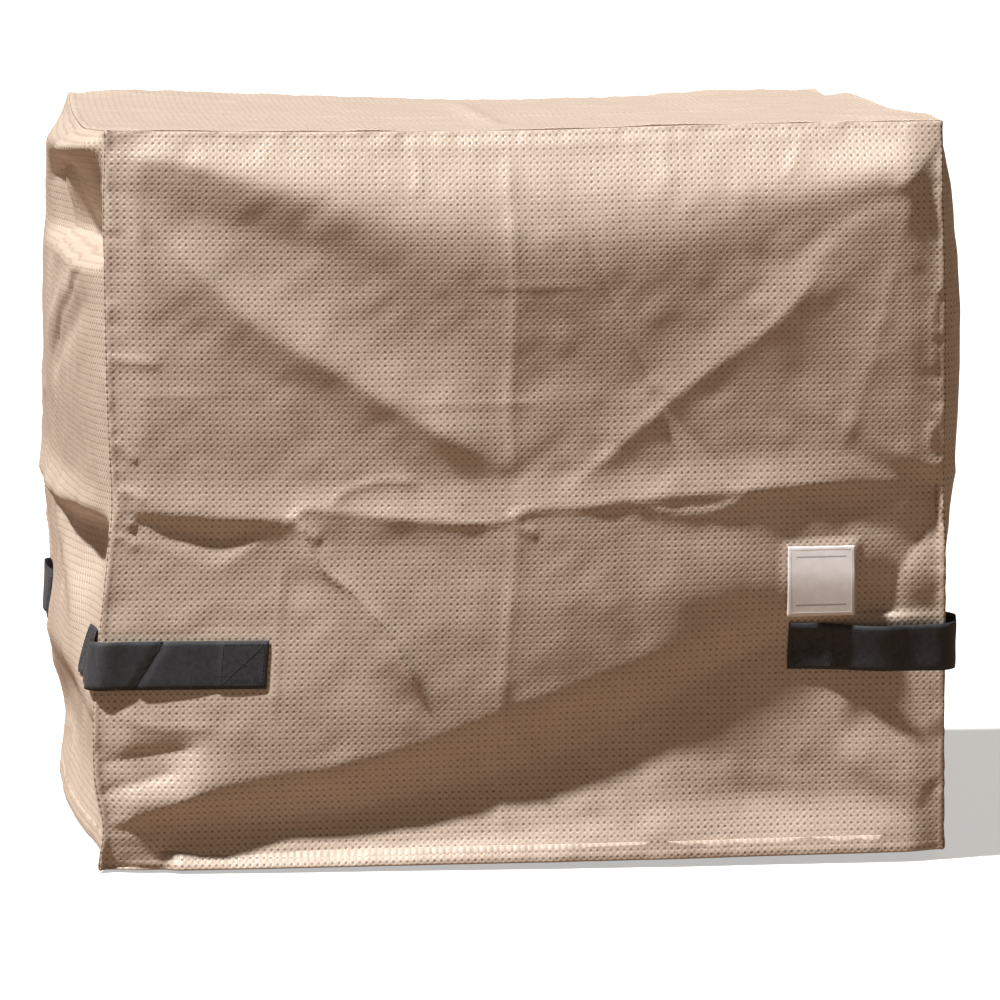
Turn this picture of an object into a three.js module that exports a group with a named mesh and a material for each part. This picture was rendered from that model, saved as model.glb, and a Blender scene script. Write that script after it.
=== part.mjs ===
import * as THREE from 'three';

// A fitted cover for a square air conditioner unit: a five sided cloth box, open below, with a webbing
// strap over each lower corner. Millimetres, +Z up, the front towards -Y. The origin is where the unit
// carries the cover, at the middle of the underside of the top.

// Driving dimensions.
const width = 864;
const depth = 864;
const height = 762;
const restHeight = 752;
const clothThickness = 2;
const webbingWidth = 50;
const webbingThickness = 2;
const labelSize = 70;
const labelThickness = 1;
const seamPull = 0.52;
const sewnGap = 0.7;
const labelGap = 0.9;

const halfWidth = width / 2;
const halfDepth = depth / 2;

// Within these distances of a seam the pulls die out and the rows of cloth straighten.
const pullFade = 40;
const rowFade = 60;

// The shares of a pull's length over which it comes up at its start and dies out at its end.
const pullRise = [-0.1, 0.2];
const pullFall = [0.75, 1.1];

// Every seam is cut into the same number of steps. The front and the left wall take two rows of cloth
// for each step, because their folds are the deepest.
const seamSteps = 18;

const clothColour = '#b89d86';
const webbingColour = '#26272a';
const labelColour = '#e4dedc';

// Upright seams. side and face are the signs of X and Y. Each row says how far the seam stands out of
// the plain box at a height above the hem, across the width and across the depth.
const uprightSeams = {
  frontLeft: {
    side: -1, face: -1, foot: -2, head: 755,
    rows: [
      { h: 0, across: 8, along: 2 },
      { h: 42, across: 4, along: 3 },
      { h: 101, across: 13, along: 5 },
      { h: 141, across: 14, along: 5 },
      { h: 249, across: 6, along: 2 },
      { h: 350, across: -5, along: -2 },
      { h: 377, across: -7, along: -3 },
      { h: 480, across: -3, along: 0 },
      { h: 684, across: 0, along: 0 },
      { h: 762, across: -2, along: 0 },
    ],
  },
  frontRight: {
    side: 1, face: -1, foot: 6, head: 762,
    rows: [
      { h: 0, across: 5, along: -1 },
      { h: 180, across: 4, along: 5 },
      { h: 310, across: 3, along: 14 },
      { h: 390, across: 0, along: 18 },
      { h: 480, across: 0, along: 23 },
      { h: 580, across: -1, along: 25 },
      { h: 690, across: -3, along: 19 },
      { h: 762, across: -1, along: 0 },
    ],
  },
  backLeft: {
    side: -1, face: 1, foot: -3, head: 761,
    rows: [
      { h: 0, across: 8, along: 3 },
      { h: 60, across: 4, along: 2 },
      { h: 124, across: 18, along: 7 },
      { h: 228, across: 15, along: 8 },
      { h: 346, across: 28, along: 10 },
      { h: 489, across: 25, along: 7 },
      { h: 650, across: 17, along: 4 },
      { h: 725, across: 10, along: 1 },
      { h: 762, across: -3, along: 0 },
    ],
  },
  backRight: {
    side: 1, face: 1, foot: 0, head: 761,
    rows: [
      { h: 0, across: 5, along: 4 },
      { h: 120, across: 9, along: 8 },
      { h: 346, across: 15, along: 11 },
      { h: 520, across: 11, along: 8 },
      { h: 700, across: 5, along: 3 },
      { h: 762, across: 0, along: 0 },
    ],
  },
};

// Seams round the top. at runs from the left or the front end to the other, out is away from the box
// and up is above the straight line between the corners.
const topSeams = {
  front: {
    from: 'frontLeft', to: 'frontRight', axis: 'y', sign: -1,
    rows: [
      { at: 0, out: 0, up: 0 },
      { at: 0.25, out: 1, up: -3 },
      { at: 0.5, out: 2, up: -4 },
      { at: 0.7, out: 1, up: -1 },
      { at: 1, out: 0, up: 0 },
    ],
  },
  back: {
    from: 'backLeft', to: 'backRight', axis: 'y', sign: 1,
    rows: [
      { at: 0, out: 0, up: 0 },
      { at: 0.06, out: 1, up: 3 },
      { at: 0.3, out: 3, up: -4 },
      { at: 0.58, out: 4, up: -10 },
      { at: 0.74, out: 3, up: -7 },
      { at: 0.88, out: 1, up: 0 },
      { at: 1, out: 0, up: 0 },
    ],
  },
  left: {
    from: 'frontLeft', to: 'backLeft', axis: 'x', sign: -1,
    rows: [
      { at: 0, out: 0, up: 0 },
      { at: 0.06, out: 9, up: -1 },
      { at: 0.17, out: 16, up: -3 },
      { at: 0.5, out: 13, up: -4 },
      { at: 0.8, out: 6, up: -1 },
      { at: 1, out: 0, up: 0 },
    ],
  },
  right: {
    from: 'frontRight', to: 'backRight', axis: 'x', sign: 1,
    rows: [
      { at: 0, out: 0, up: 0 },
      { at: 0.1, out: 2, up: 2 },
      { at: 0.38, out: 5, up: -2 },
      { at: 0.72, out: 5, up: 4 },
      { at: 0.92, out: 2, up: -4 },
      { at: 1, out: 0, up: 0 },
    ],
  },
};

// Folds of each panel, from the hem up (of the top, from the front back). h is the line that a fold
// takes and out how far the cloth stands out on it, at the panel's stations from left to right or from
// front to back. Every fold runs out at the seams.
const frontFolds = {
  stations: [-390, -260, -130, 0, 130, 260, 390],
  rows: [
    { fold: 'hem', h: [0, 0, 0, 0, 0, 0, 0], out: [13, 18, 20, 22, 23, 18, 14] },
    { fold: 'hem flare', h: [14, 12, 22, 36, 60, 70, 60], out: [9, 9, 6, 8, 9, -3, 4] },
    { fold: 'tuck above the hem', h: [44, 46, 66, 96, 148, 214, 190], out: [3, -2, -6, -4, -2, -3, -1] },
    { fold: 'belly', h: [74, 100, 124, 172, 218, 256, 240], out: [12, 16, 17, 22, 20, 9, 3] },
    { fold: 'waist', h: [285, 290, 282, 280, 288, 300, 295], out: [2, 9, 23, 29, 25, 15, 10] },
    { fold: 'under the packing crease', h: [341, 335, 331, 328, 338, 345, 345], out: [3, 12, 23, 29, 24, 15, 8] },
    { fold: 'packing crease', h: [373, 365, 361, 369, 378, 387, 395], out: [9, 17, 25, 28, 25, 19, 9] },
    { fold: 'over the packing crease', h: [412, 408, 405, 412, 420, 430, 440], out: [7, 14, 21, 24, 20, 15, 8] },
    { fold: 'field', h: [520, 520, 520, 490, 500, 530, 555], out: [8, 16, 21, 24, 21, 15, 9] },
    { fold: 'lee of the shoulder', h: [670, 650, 600, 555, 570, 620, 680], out: [9, 19, 26, 29, 25, 19, 12] },
    { fold: 'shoulder', h: [728, 700, 662, 636, 648, 676, 714], out: [12, 26, 33, 37, 32, 25, 17] },
    { fold: 'edge of the top', h: [751, 748, 746, 745, 746, 748, 750], out: [4, 6, 8, 9, 8, 7, 5] },
  ],
};

const leftFolds = {
  stations: [-405, -340, -220, -130, 80, 280, 400],
  rows: [
    { fold: 'hem', h: [0, 0, 0, 0, 0, 0, 0], out: [-5, -9, -5, 2, 10, 8, 2] },
    { fold: 'tuck above the hem', h: [85, 95, 112, 122, 116, 100, 85], out: [-5, -12, -18, -18, -12, -9, -4] },
    { fold: 'belly', h: [150, 165, 186, 198, 190, 170, 150], out: [-2, -2, 6, 14, 16, 11, 3] },
    { fold: 'waist', h: [250, 250, 255, 262, 262, 258, 255], out: [-10, -16, -8, 4, 9, 6, 1] },
    { fold: 'under the packing crease', h: [330, 330, 330, 330, 332, 330, 330], out: [-18, -34, -28, -8, 5, 5, 1] },
    { fold: 'packing crease', h: [370, 369, 365, 360, 354, 350, 347], out: [3, 8, 14, 18, 16, 10, 4] },
    { fold: 'over the packing crease', h: [400, 400, 398, 392, 390, 388, 386], out: [3, 6, 9, 11, 10, 6, 2] },
    { fold: 'field', h: [500, 500, 500, 500, 500, 500, 500], out: [3, 7, 11, 15, 14, 9, 3] },
    { fold: 'foot of the corner hollow', h: [616, 616, 616, 616, 612, 606, 600], out: [2, 6, 9, 12, 13, 11, 5] },
    { fold: 'corner hollow', h: [640, 640, 640, 640, 634, 636, 640], out: [-16, -30, -31, -29, -6, 9, 5] },
    { fold: 'brow of the corner hollow', h: [712, 708, 704, 700, 690, 672, 668], out: [-5, -6, -4, 2, 11, 11, 5] },
    { fold: 'ridge over the corner hollow', h: [746, 742, 738, 734, 728, 712, 700], out: [4, 13, 18, 21, 20, 12, 5] },
  ],
};

const rightFolds = {
  stations: [-405, -370, -300, -150, 60, 260, 400],
  rows: [
    { fold: 'hem', h: [0, 0, 0, 0, 0, 0, 0], out: [2, 4, 8, 14, 16, 12, 4] },
    { fold: 'tuck above the hem', h: [80, 82, 86, 92, 96, 92, 84], out: [0, 0, -2, -7, -9, -6, -2] },
    { fold: 'belly', h: [150, 154, 162, 174, 180, 172, 160], out: [3, 6, 10, 16, 18, 12, 4] },
    { fold: 'waist', h: [285, 285, 285, 285, 285, 285, 285], out: [2, 3, 4, 5, 7, 5, 2] },
    { fold: 'under the packing crease', h: [345, 345, 342, 338, 334, 332, 330], out: [8, 11, 8, 0, -3, -1, 0] },
    { fold: 'packing crease', h: [393, 391, 388, 382, 376, 370, 365], out: [13, 18, 18, 16, 15, 12, 5] },
    { fold: 'over the packing crease', h: [435, 433, 430, 424, 418, 412, 408], out: [14, 21, 18, 11, 9, 8, 3] },
    { fold: 'roll behind the seam', h: [550, 550, 550, 550, 550, 550, 550], out: [14, 23, 20, 10, 8, 7, 3] },
    { fold: 'lee of the shoulder', h: [650, 650, 645, 635, 625, 630, 640], out: [11, 18, 17, 11, 10, 8, 3] },
    { fold: 'shoulder', h: [725, 722, 715, 700, 690, 695, 705], out: [6, 9, 11, 14, 16, 12, 4] },
  ],
};

const backFolds = {
  stations: [-390, -260, -130, 0, 130, 260, 390],
  rows: [
    { fold: 'hem', h: [0, 0, 0, 0, 0, 0, 0], out: [6, 16, 22, 24, 21, 15, 6] },
    { fold: 'tuck above the hem', h: [70, 82, 96, 106, 96, 84, 70], out: [0, -3, -5, -5, -5, -3, 0] },
    { fold: 'belly', h: [130, 152, 176, 190, 178, 160, 140], out: [8, 18, 26, 28, 24, 16, 7] },
    { fold: 'waist', h: [285, 285, 285, 285, 285, 285, 285], out: [4, 8, 10, 12, 10, 8, 3] },
    { fold: 'under the packing crease', h: [330, 328, 328, 330, 334, 336, 338], out: [0, 2, 4, 4, 3, 0, -3] },
    { fold: 'packing crease', h: [366, 362, 360, 364, 370, 376, 380], out: [8, 12, 14, 15, 15, 14, 9] },
    { fold: 'over the packing crease', h: [405, 402, 400, 404, 410, 415, 418], out: [4, 8, 11, 12, 11, 9, 5] },
    { fold: 'field', h: [530, 530, 530, 530, 530, 530, 530], out: [4, 10, 14, 16, 14, 9, 4] },
    { fold: 'lee of the shoulder', h: [660, 630, 610, 600, 612, 634, 665], out: [2, 7, 13, 17, 14, 8, 2] },
    { fold: 'shoulder', h: [722, 700, 680, 668, 678, 698, 720], out: [5, 13, 20, 24, 21, 14, 5] },
  ],
};

const topFolds = {
  stations: [-390, -260, -130, 0, 130, 260, 390],
  rows: [
    { fold: 'behind the front seam', h: [42, 42, 42, 42, 42, 42, 42], out: [1, 1, 0, 0, 1, 1, 1] },
    { fold: 'front sag', h: [220, 220, 220, 220, 220, 220, 220], out: [-2, -4, -5, -4, -4, -3, -2] },
    { fold: 'packing crease', h: [432, 432, 432, 432, 432, 432, 432], out: [-1, -3, -3, -2, -2, -2, -1] },
    { fold: 'back sag', h: [640, 640, 640, 640, 640, 640, 640], out: [-2, -4, -4, -3, -2, -2, -2] },
    { fold: 'before the back seam', h: [822, 822, 822, 822, 822, 822, 822], out: [1, 0, 1, 1, 2, 1, 1] },
  ],
};

// Long soft pulls that cross the fold lines. reach is the half width on either side of the line.
const frontPulls = [
  { pull: 'from the top left corner', fromX: -404, fromH: 642, toX: 0, toH: 396, reach: 30, out: 6 },
  { pull: 'hollow above it', fromX: -372, fromH: 706, toX: -60, toH: 540, reach: 40, out: -3 },
  { pull: 'from the top right corner', fromX: 418, fromH: 735, toX: 210, toH: 500, reach: 40, out: 5 },
  { pull: 'down to the packing crease', fromX: 300, fromH: 612, toX: 30, toH: 385, reach: 24, out: 2 },
  { pull: 'arc below the packing crease', fromX: -240, fromH: 350, toX: -105, toH: 175, reach: 18, out: 5 },
  { pull: 'bottom left fold', fromX: -430, fromH: 44, toX: -290, toH: 96, reach: 24, out: 6 },
  { pull: 'crease above the bottom left fold', fromX: -430, fromH: 90, toX: -330, toH: 126, reach: 22, out: -4 },
  { pull: 'bottom right fold', fromX: 424, fromH: 60, toX: 330, toH: 110, reach: 24, out: 4 },
];

const leftPulls = [
  { pull: 'ridge down and back', fromX: -340, fromH: 620, toX: 110, toH: 515, reach: 20, out: 5 },
  { pull: 'slit before the ridge', fromX: -372, fromH: 585, toX: 70, toH: 475, reach: 16, out: -4 },
  { pull: 'rib in the hollow', fromX: -350, fromH: 350, toX: -412, toH: 275, reach: 12, out: 7 },
  { pull: 'pull to the strap', fromX: 80, fromH: 340, toX: -215, toH: 236, reach: 24, out: 7 },
];

const rightPulls = [
  { pull: 'pull from the strap', fromX: -380, fromH: 230, toX: 60, toH: 330, reach: 26, out: 7 },
  { pull: 'pull from the top corner', fromX: 400, fromH: 730, toX: 60, toH: 470, reach: 34, out: 7 },
];

const backPulls = [
  { pull: 'from the left corner', fromX: -410, fromH: 735, toX: -80, toH: 430, reach: 36, out: 7 },
  { pull: 'from the right corner', fromX: 410, fromH: 735, toX: 140, toH: 480, reach: 36, out: 7 },
];

const topPulls = [
  { pull: 'packing crease from front to back', fromX: 0, fromH: 30, toX: 0, toH: 834, reach: 14, out: 2 },
];

// Straps, each over one upright seam. h is the height of the webbing's middle at the end on the front
// or back wall and at the end on the side wall. Each row gives the distance from the corner along a
// wall and how far the webbing stands off the cloth there.
const straps = [
  {
    name: 'front_left_strap', seam: 'frontLeft', wallHeight: 212, sideHeight: 212,
    wall: [
      { away: 172, off: 0 }, { away: 158, off: 0 }, { away: 142, off: 0 }, { away: 122, off: 0 },
      { away: 96, off: 1 }, { away: 66, off: 2 }, { away: 32, off: 4 }, { away: 5, off: 8 },
    ],
    side: [
      { away: 5, off: 8 }, { away: 32, off: 9 }, { away: 66, off: 8 }, { away: 96, off: 4 },
      { away: 120, off: 1 }, { away: 138, off: 0 }, { away: 152, off: 0 }, { away: 166, off: 0 },
    ],
  },
  {
    name: 'front_right_strap', seam: 'frontRight', wallHeight: 219, sideHeight: 212,
    wall: [
      { away: 162, off: 0 }, { away: 148, off: 0.5 }, { away: 132, off: 1 }, { away: 114, off: 4 },
      { away: 92, off: 10 }, { away: 66, off: 14 }, { away: 34, off: 11 }, { away: 5, off: 9 },
    ],
    side: [
      { away: 5, off: 8 }, { away: 32, off: 10 }, { away: 66, off: 12 }, { away: 96, off: 8 },
      { away: 120, off: 2 }, { away: 138, off: 0 }, { away: 152, off: 0 }, { away: 166, off: 0 },
    ],
  },
  {
    name: 'back_left_strap', seam: 'backLeft', wallHeight: 206, sideHeight: 206,
    wall: [
      { away: 166, off: 0 }, { away: 152, off: 0 }, { away: 138, off: 0 }, { away: 120, off: 1 },
      { away: 96, off: 6 }, { away: 66, off: 9 }, { away: 32, off: 10 }, { away: 5, off: 8 },
    ],
    side: [
      { away: 5, off: 8 }, { away: 32, off: 9 }, { away: 66, off: 8 }, { away: 96, off: 5 },
      { away: 120, off: 1 }, { away: 138, off: 0 }, { away: 152, off: 0 }, { away: 166, off: 0 },
    ],
  },
  {
    name: 'back_right_strap', seam: 'backRight', wallHeight: 212, sideHeight: 212,
    wall: [
      { away: 166, off: 0 }, { away: 152, off: 0 }, { away: 138, off: 0 }, { away: 120, off: 1 },
      { away: 96, off: 6 }, { away: 66, off: 9 }, { away: 32, off: 10 }, { away: 5, off: 8 },
    ],
    side: [
      { away: 5, off: 8 }, { away: 32, off: 10 }, { away: 66, off: 9 }, { away: 96, off: 6 },
      { away: 120, off: 1 }, { away: 138, off: 0 }, { away: 152, off: 0 }, { away: 166, off: 0 },
    ],
  },
];
const strapRowsAcross = 4;

// The label is sewn flat above the right strap. Its middle, across the front and above the hem.
const labelMiddle = { x: 300, h: 289 };
const labelSteps = 10;

// A smooth curve through points that never overshoots them.
function smoothCurve(at, to) {
  const last = at.length - 1;
  const step = at.slice(1).map((value, i) => (to[i + 1] - to[i]) / (value - at[i]));
  const slope = at.map((value, i) => {
    if (i === 0 || i === last) {
      return 0;
    }
    const before = step[i - 1];
    const after = step[i];
    return before * after > 0 ? (2 * before * after) / (before + after) : 0;
  });
  return (t) => {
    if (t <= at[0]) {
      return to[0];
    }
    if (t >= at[last]) {
      return to[last];
    }
    const i = at.findIndex((value, k) => k > 0 && t < value) - 1;
    const span = at[i + 1] - at[i];
    const s = (t - at[i]) / span;
    const rise = s * s * (3 - 2 * s);
    const enter = s * (1 - s) * (1 - s) * span * slope[i];
    const leave = s * s * (s - 1) * span * slope[i + 1];
    return to[i] + (to[i + 1] - to[i]) * rise + enter + leave;
  };
}

function columnOf(rows, key) {
  return rows.map((row) => row[key]);
}

// How far a panel's cloth stands out at x across it and h up it, from its fold lines and its pulls.
function foldsOf(table, pulls, halfSpan, rise) {
  const ends = [-halfSpan, ...table.stations, halfSpan];
  const lines = table.rows.map((row) => ({
    h: smoothCurve(ends, [row.h[0], ...row.h, row.h[row.h.length - 1]]),
    out: smoothCurve(ends, [0, ...row.out, 0]),
  }));
  const startsAtEdge = table.rows[0].h[0] === 0;
  const heightsAt = (x) => {
    const at = lines.map((line) => line.h(x));
    return startsAtEdge ? [...at, rise] : [0, ...at, rise];
  };
  const out = (x, h) => {
    const to = lines.map((line) => line.out(x));
    const outs = startsAtEdge ? [...to, 0] : [0, ...to, 0];
    const edge = Math.min(halfSpan - Math.abs(x), rise - h) / pullFade;
    const fade = THREE.MathUtils.smoothstep(edge, 0, 1);
    return smoothCurve(heightsAt(x), outs)(h) + fade * pullsAt(pulls, x, h);
  };
  return { out, heightsAt };
}

// Where the rows of a panel's grid cross it at x. Rows are even at the seams, and between them the
// row nearest to each fold line bends to lie on it, so that no crease is cut across.
function rowHeights(panel, x) {
  const lines = panel.folds.heightsAt(x);
  const middle = panel.folds.heightsAt(0);
  const even = panel.rise / panel.rows;
  const rows = middle.map((h) => Math.round(h / even));
  const edge = Math.min(Math.abs(x - panel.from), Math.abs(panel.to - x)) / rowFade;
  const bend = THREE.MathUtils.smoothstep(edge, 0, 1);
  const heights = [];
  for (let r = 0; r <= panel.rows; r += 1) {
    const k = Math.max(rows.findIndex((row) => row >= r), 1);
    const share = (r - rows[k - 1]) / (rows[k] - rows[k - 1]);
    const bent = THREE.MathUtils.lerp(lines[k - 1], lines[k], share);
    heights.push(THREE.MathUtils.lerp(r * even, bent, bend));
  }
  return heights;
}

function pullsAt(pulls, x, h) {
  let total = 0;
  for (const pull of pulls) {
    const runX = pull.toX - pull.fromX;
    const runH = pull.toH - pull.fromH;
    const length = Math.hypot(runX, runH);
    const along = ((x - pull.fromX) * runX + (h - pull.fromH) * runH) / (length * length);
    const aside = ((x - pull.fromX) * runH - (h - pull.fromH) * runX) / length;
    const risen = THREE.MathUtils.smoothstep(along, ...pullRise);
    const fallen = THREE.MathUtils.smoothstep(along, ...pullFall);
    total += pull.out * risen * (1 - fallen) * Math.exp(-((aside / pull.reach) ** 2));
  }
  return total;
}

// Seam points, one for each step.
function uprightSeamPoints(seam) {
  const across = smoothCurve(columnOf(seam.rows, 'h'), columnOf(seam.rows, 'across'));
  const along = smoothCurve(columnOf(seam.rows, 'h'), columnOf(seam.rows, 'along'));
  const points = [];
  for (let i = 0; i <= seamSteps; i += 1) {
    const v = i / seamSteps;
    const x = seam.side * (halfWidth + across(v * height));
    const y = seam.face * (halfDepth + along(v * height));
    const z = THREE.MathUtils.lerp(seam.foot, seam.head, v) - restHeight;
    points.push(new THREE.Vector3(x, y, z));
  }
  return points;
}

function topSeamPoints(seam, upright) {
  const out = smoothCurve(columnOf(seam.rows, 'at'), columnOf(seam.rows, 'out'));
  const up = smoothCurve(columnOf(seam.rows, 'at'), columnOf(seam.rows, 'up'));
  const from = upright[seam.from][seamSteps];
  const to = upright[seam.to][seamSteps];
  const points = [];
  for (let i = 0; i <= seamSteps; i += 1) {
    const t = i / seamSteps;
    const point = from.clone().lerp(to, t);
    point[seam.axis] += seam.sign * out(t);
    point.z += up(t);
    points.push(point);
  }
  return points;
}

function hemPoints(from, to) {
  const points = [];
  for (let i = 0; i <= seamSteps; i += 1) {
    points.push(from.clone().lerp(to, i / seamSteps));
  }
  return points;
}

// A point part of the way along a run of seam points.
function pointOn(points, t) {
  const place = t * (points.length - 1);
  const i = Math.min(Math.floor(place), points.length - 2);
  return points[i].clone().lerp(points[i + 1], place - i);
}

// Where each point of a panel's grid lies across it and up it.
function gridPlaces(panel) {
  const columns = [];
  for (let c = 0; c <= panel.columns; c += 1) {
    const across = THREE.MathUtils.lerp(panel.from, panel.to, c / panel.columns);
    columns.push(rowHeights(panel, across).map((h) => ({ across, h })));
  }
  return columns[0].map((_, r) => columns.map((rows) => rows[r]));
}

// The outer face of a panel: a patch stretched between its four edges, pushed out by its folds.
function outerGrid(panel) {
  const { foot, head, start, end } = panel.edges;
  return panel.places.map((places) => places.map(({ across, h }, c) => {
    const u = c / panel.columns;
    const v = h / panel.rise;
    const point = pointOn(foot, u).multiplyScalar(1 - v).addScaledVector(pointOn(head, u), v);
    point.addScaledVector(pointOn(start, v), 1 - u).addScaledVector(pointOn(end, v), u);
    point.addScaledVector(foot[0], -(1 - u) * (1 - v)).addScaledVector(foot[seamSteps], -u * (1 - v));
    point.addScaledVector(head[0], -(1 - u) * v).addScaledVector(head[seamSteps], -u * v);
    return point.addScaledVector(panel.outward, panel.folds.out(across, h));
  }));
}

function gridNormal(grid, r, c) {
  const lastRow = grid.length - 1;
  const lastColumn = grid[0].length - 1;
  const left = grid[r][Math.max(c - 1, 0)];
  const right = grid[r][Math.min(c + 1, lastColumn)];
  const below = grid[Math.max(r - 1, 0)][c];
  const above = grid[Math.min(r + 1, lastRow)][c];
  return right.clone().sub(left).cross(above.clone().sub(below)).normalize();
}

// The step from an outer point to the inner point that lies one thickness under every face given.
function inwardStep(normals, thickness) {
  if (normals.length === 1) {
    return normals[0].clone().multiplyScalar(-thickness);
  }
  const [first, second] = normals;
  if (normals.length === 2) {
    return first.clone().add(second).multiplyScalar(-thickness / (1 + first.dot(second)));
  }
  const rows = new THREE.Matrix3();
  rows.set(...first.toArray(), ...second.toArray(), ...normals[2].toArray());
  return new THREE.Vector3(-thickness, -thickness, -thickness).applyMatrix3(rows.invert());
}

// The grid's row and column at a share of the way along an edge.
function edgePlace(panel, edge, t) {
  const row = Math.round(t * panel.rows);
  const spot = Math.round(t * panel.columns);
  if (edge === 'foot') {
    return [0, spot];
  }
  if (edge === 'head') {
    return [panel.rows, spot];
  }
  return edge === 'start' ? [row, 0] : [row, panel.columns];
}

// The way that the panel on the far side of a seam faces.
function seamNormal(panels, joined, t) {
  const panel = panels[joined.panel];
  const [r, c] = edgePlace(panel, joined.edge, joined.flip ? 1 - t : t);
  return gridNormal(panel.outer, r, c);
}

// Inward steps along one edge at every seam step, from the panel's own face and its neighbour's.
function edgeSteps(panels, panel, edge) {
  const joined = panel.joins[edge];
  const steps = [];
  for (let i = 0; i <= seamSteps; i += 1) {
    const t = i / seamSteps;
    const own = gridNormal(panel.outer, ...edgePlace(panel, edge, t));
    const normals = joined ? [own, seamNormal(panels, joined, t)] : [own];
    const endEdges = edge === 'foot' || edge === 'head' ? ['start', 'end'] : ['foot', 'head'];
    const corner = i === 0 ? endEdges[0] : endEdges[1];
    const crossing = i === 0 || i === seamSteps ? panel.joins[corner] : null;
    if (crossing) {
      const crossingT = edge === 'head' || edge === 'end' ? 1 : 0;
      normals.push(seamNormal(panels, crossing, crossingT));
    }
    steps.push(inwardStep(normals, clothThickness));
  }
  return steps;
}

// The inner face, which meets its neighbours' along the seams.
function innerGrid(panels, panel) {
  const edges = {};
  for (const edge of ['foot', 'head', 'start', 'end']) {
    edges[edge] = edgeSteps(panels, panel, edge);
  }
  return panel.outer.map((line, r) => line.map((point, c) => {
    const u = c / panel.columns;
    const v = r / panel.rows;
    let step = gridNormal(panel.outer, r, c).multiplyScalar(-clothThickness);
    if (c === 0 && panel.joins.start) {
      step = pointOn(edges.start, v);
    } else if (c === panel.columns && panel.joins.end) {
      step = pointOn(edges.end, v);
    } else if (r === 0 && panel.joins.foot) {
      step = pointOn(edges.foot, u);
    } else if (r === panel.rows && panel.joins.head) {
      step = pointOn(edges.head, u);
    }
    return point.clone().add(step);
  }));
}

// Draws the sewn edges of a panel back a little, so that neighbours lie side by side.
function pulledGrid(panel, grid) {
  const { rows, columns, joins } = panel;
  return grid.map((line, r) => line.map((point, c) => {
    const moved = point.clone();
    const drawTo = (other) => moved.addScaledVector(other.clone().sub(point).normalize(), seamPull);
    if (c === 0 && joins.start) {
      drawTo(grid[r][1]);
    }
    if (c === columns && joins.end) {
      drawTo(grid[r][columns - 1]);
    }
    if (r === 0 && joins.foot) {
      drawTo(grid[1][c]);
    }
    if (r === rows && joins.head) {
      drawTo(grid[rows - 1][c]);
    }
    return moved;
  }));
}

// A closed sheet from the grids of its two faces.
function sheetGeometry(outer, inner) {
  const columns = outer[0].length;
  const rows = outer.length;
  const count = rows * columns;
  const positions = [...outer.flat(), ...inner.flat()].flatMap((point) => point.toArray());
  const index = [];
  const quad = (a, b, c, d) => index.push(a, b, c, a, c, d);
  for (let r = 0; r < rows - 1; r += 1) {
    for (let c = 0; c < columns - 1; c += 1) {
      const a = r * columns + c;
      quad(a, a + 1, a + columns + 1, a + columns);
      quad(count + a, count + a + columns, count + a + columns + 1, count + a + 1);
    }
  }
  for (let c = 0; c < columns - 1; c += 1) {
    const a = (rows - 1) * columns + c;
    quad(c + 1, c, count + c, count + c + 1);
    quad(a, a + 1, count + a + 1, count + a);
  }
  for (let r = 0; r < rows - 1; r += 1) {
    const a = r * columns;
    const b = a + columns - 1;
    quad(a, a + columns, count + a + columns, count + a);
    quad(b + columns, b, count + b, count + b + columns);
  }
  const geometry = new THREE.BufferGeometry();
  geometry.setAttribute('position', new THREE.Float32BufferAttribute(positions, 3));
  geometry.setIndex(index);
  geometry.computeVertexNormals();
  return geometry;
}

function material(colour, roughness) {
  return new THREE.MeshStandardMaterial({ color: colour, roughness, metalness: 0 });
}

function namedMesh(name, geometry, look) {
  const mesh = new THREE.Mesh(geometry, look);
  mesh.name = name;
  return mesh;
}

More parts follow.
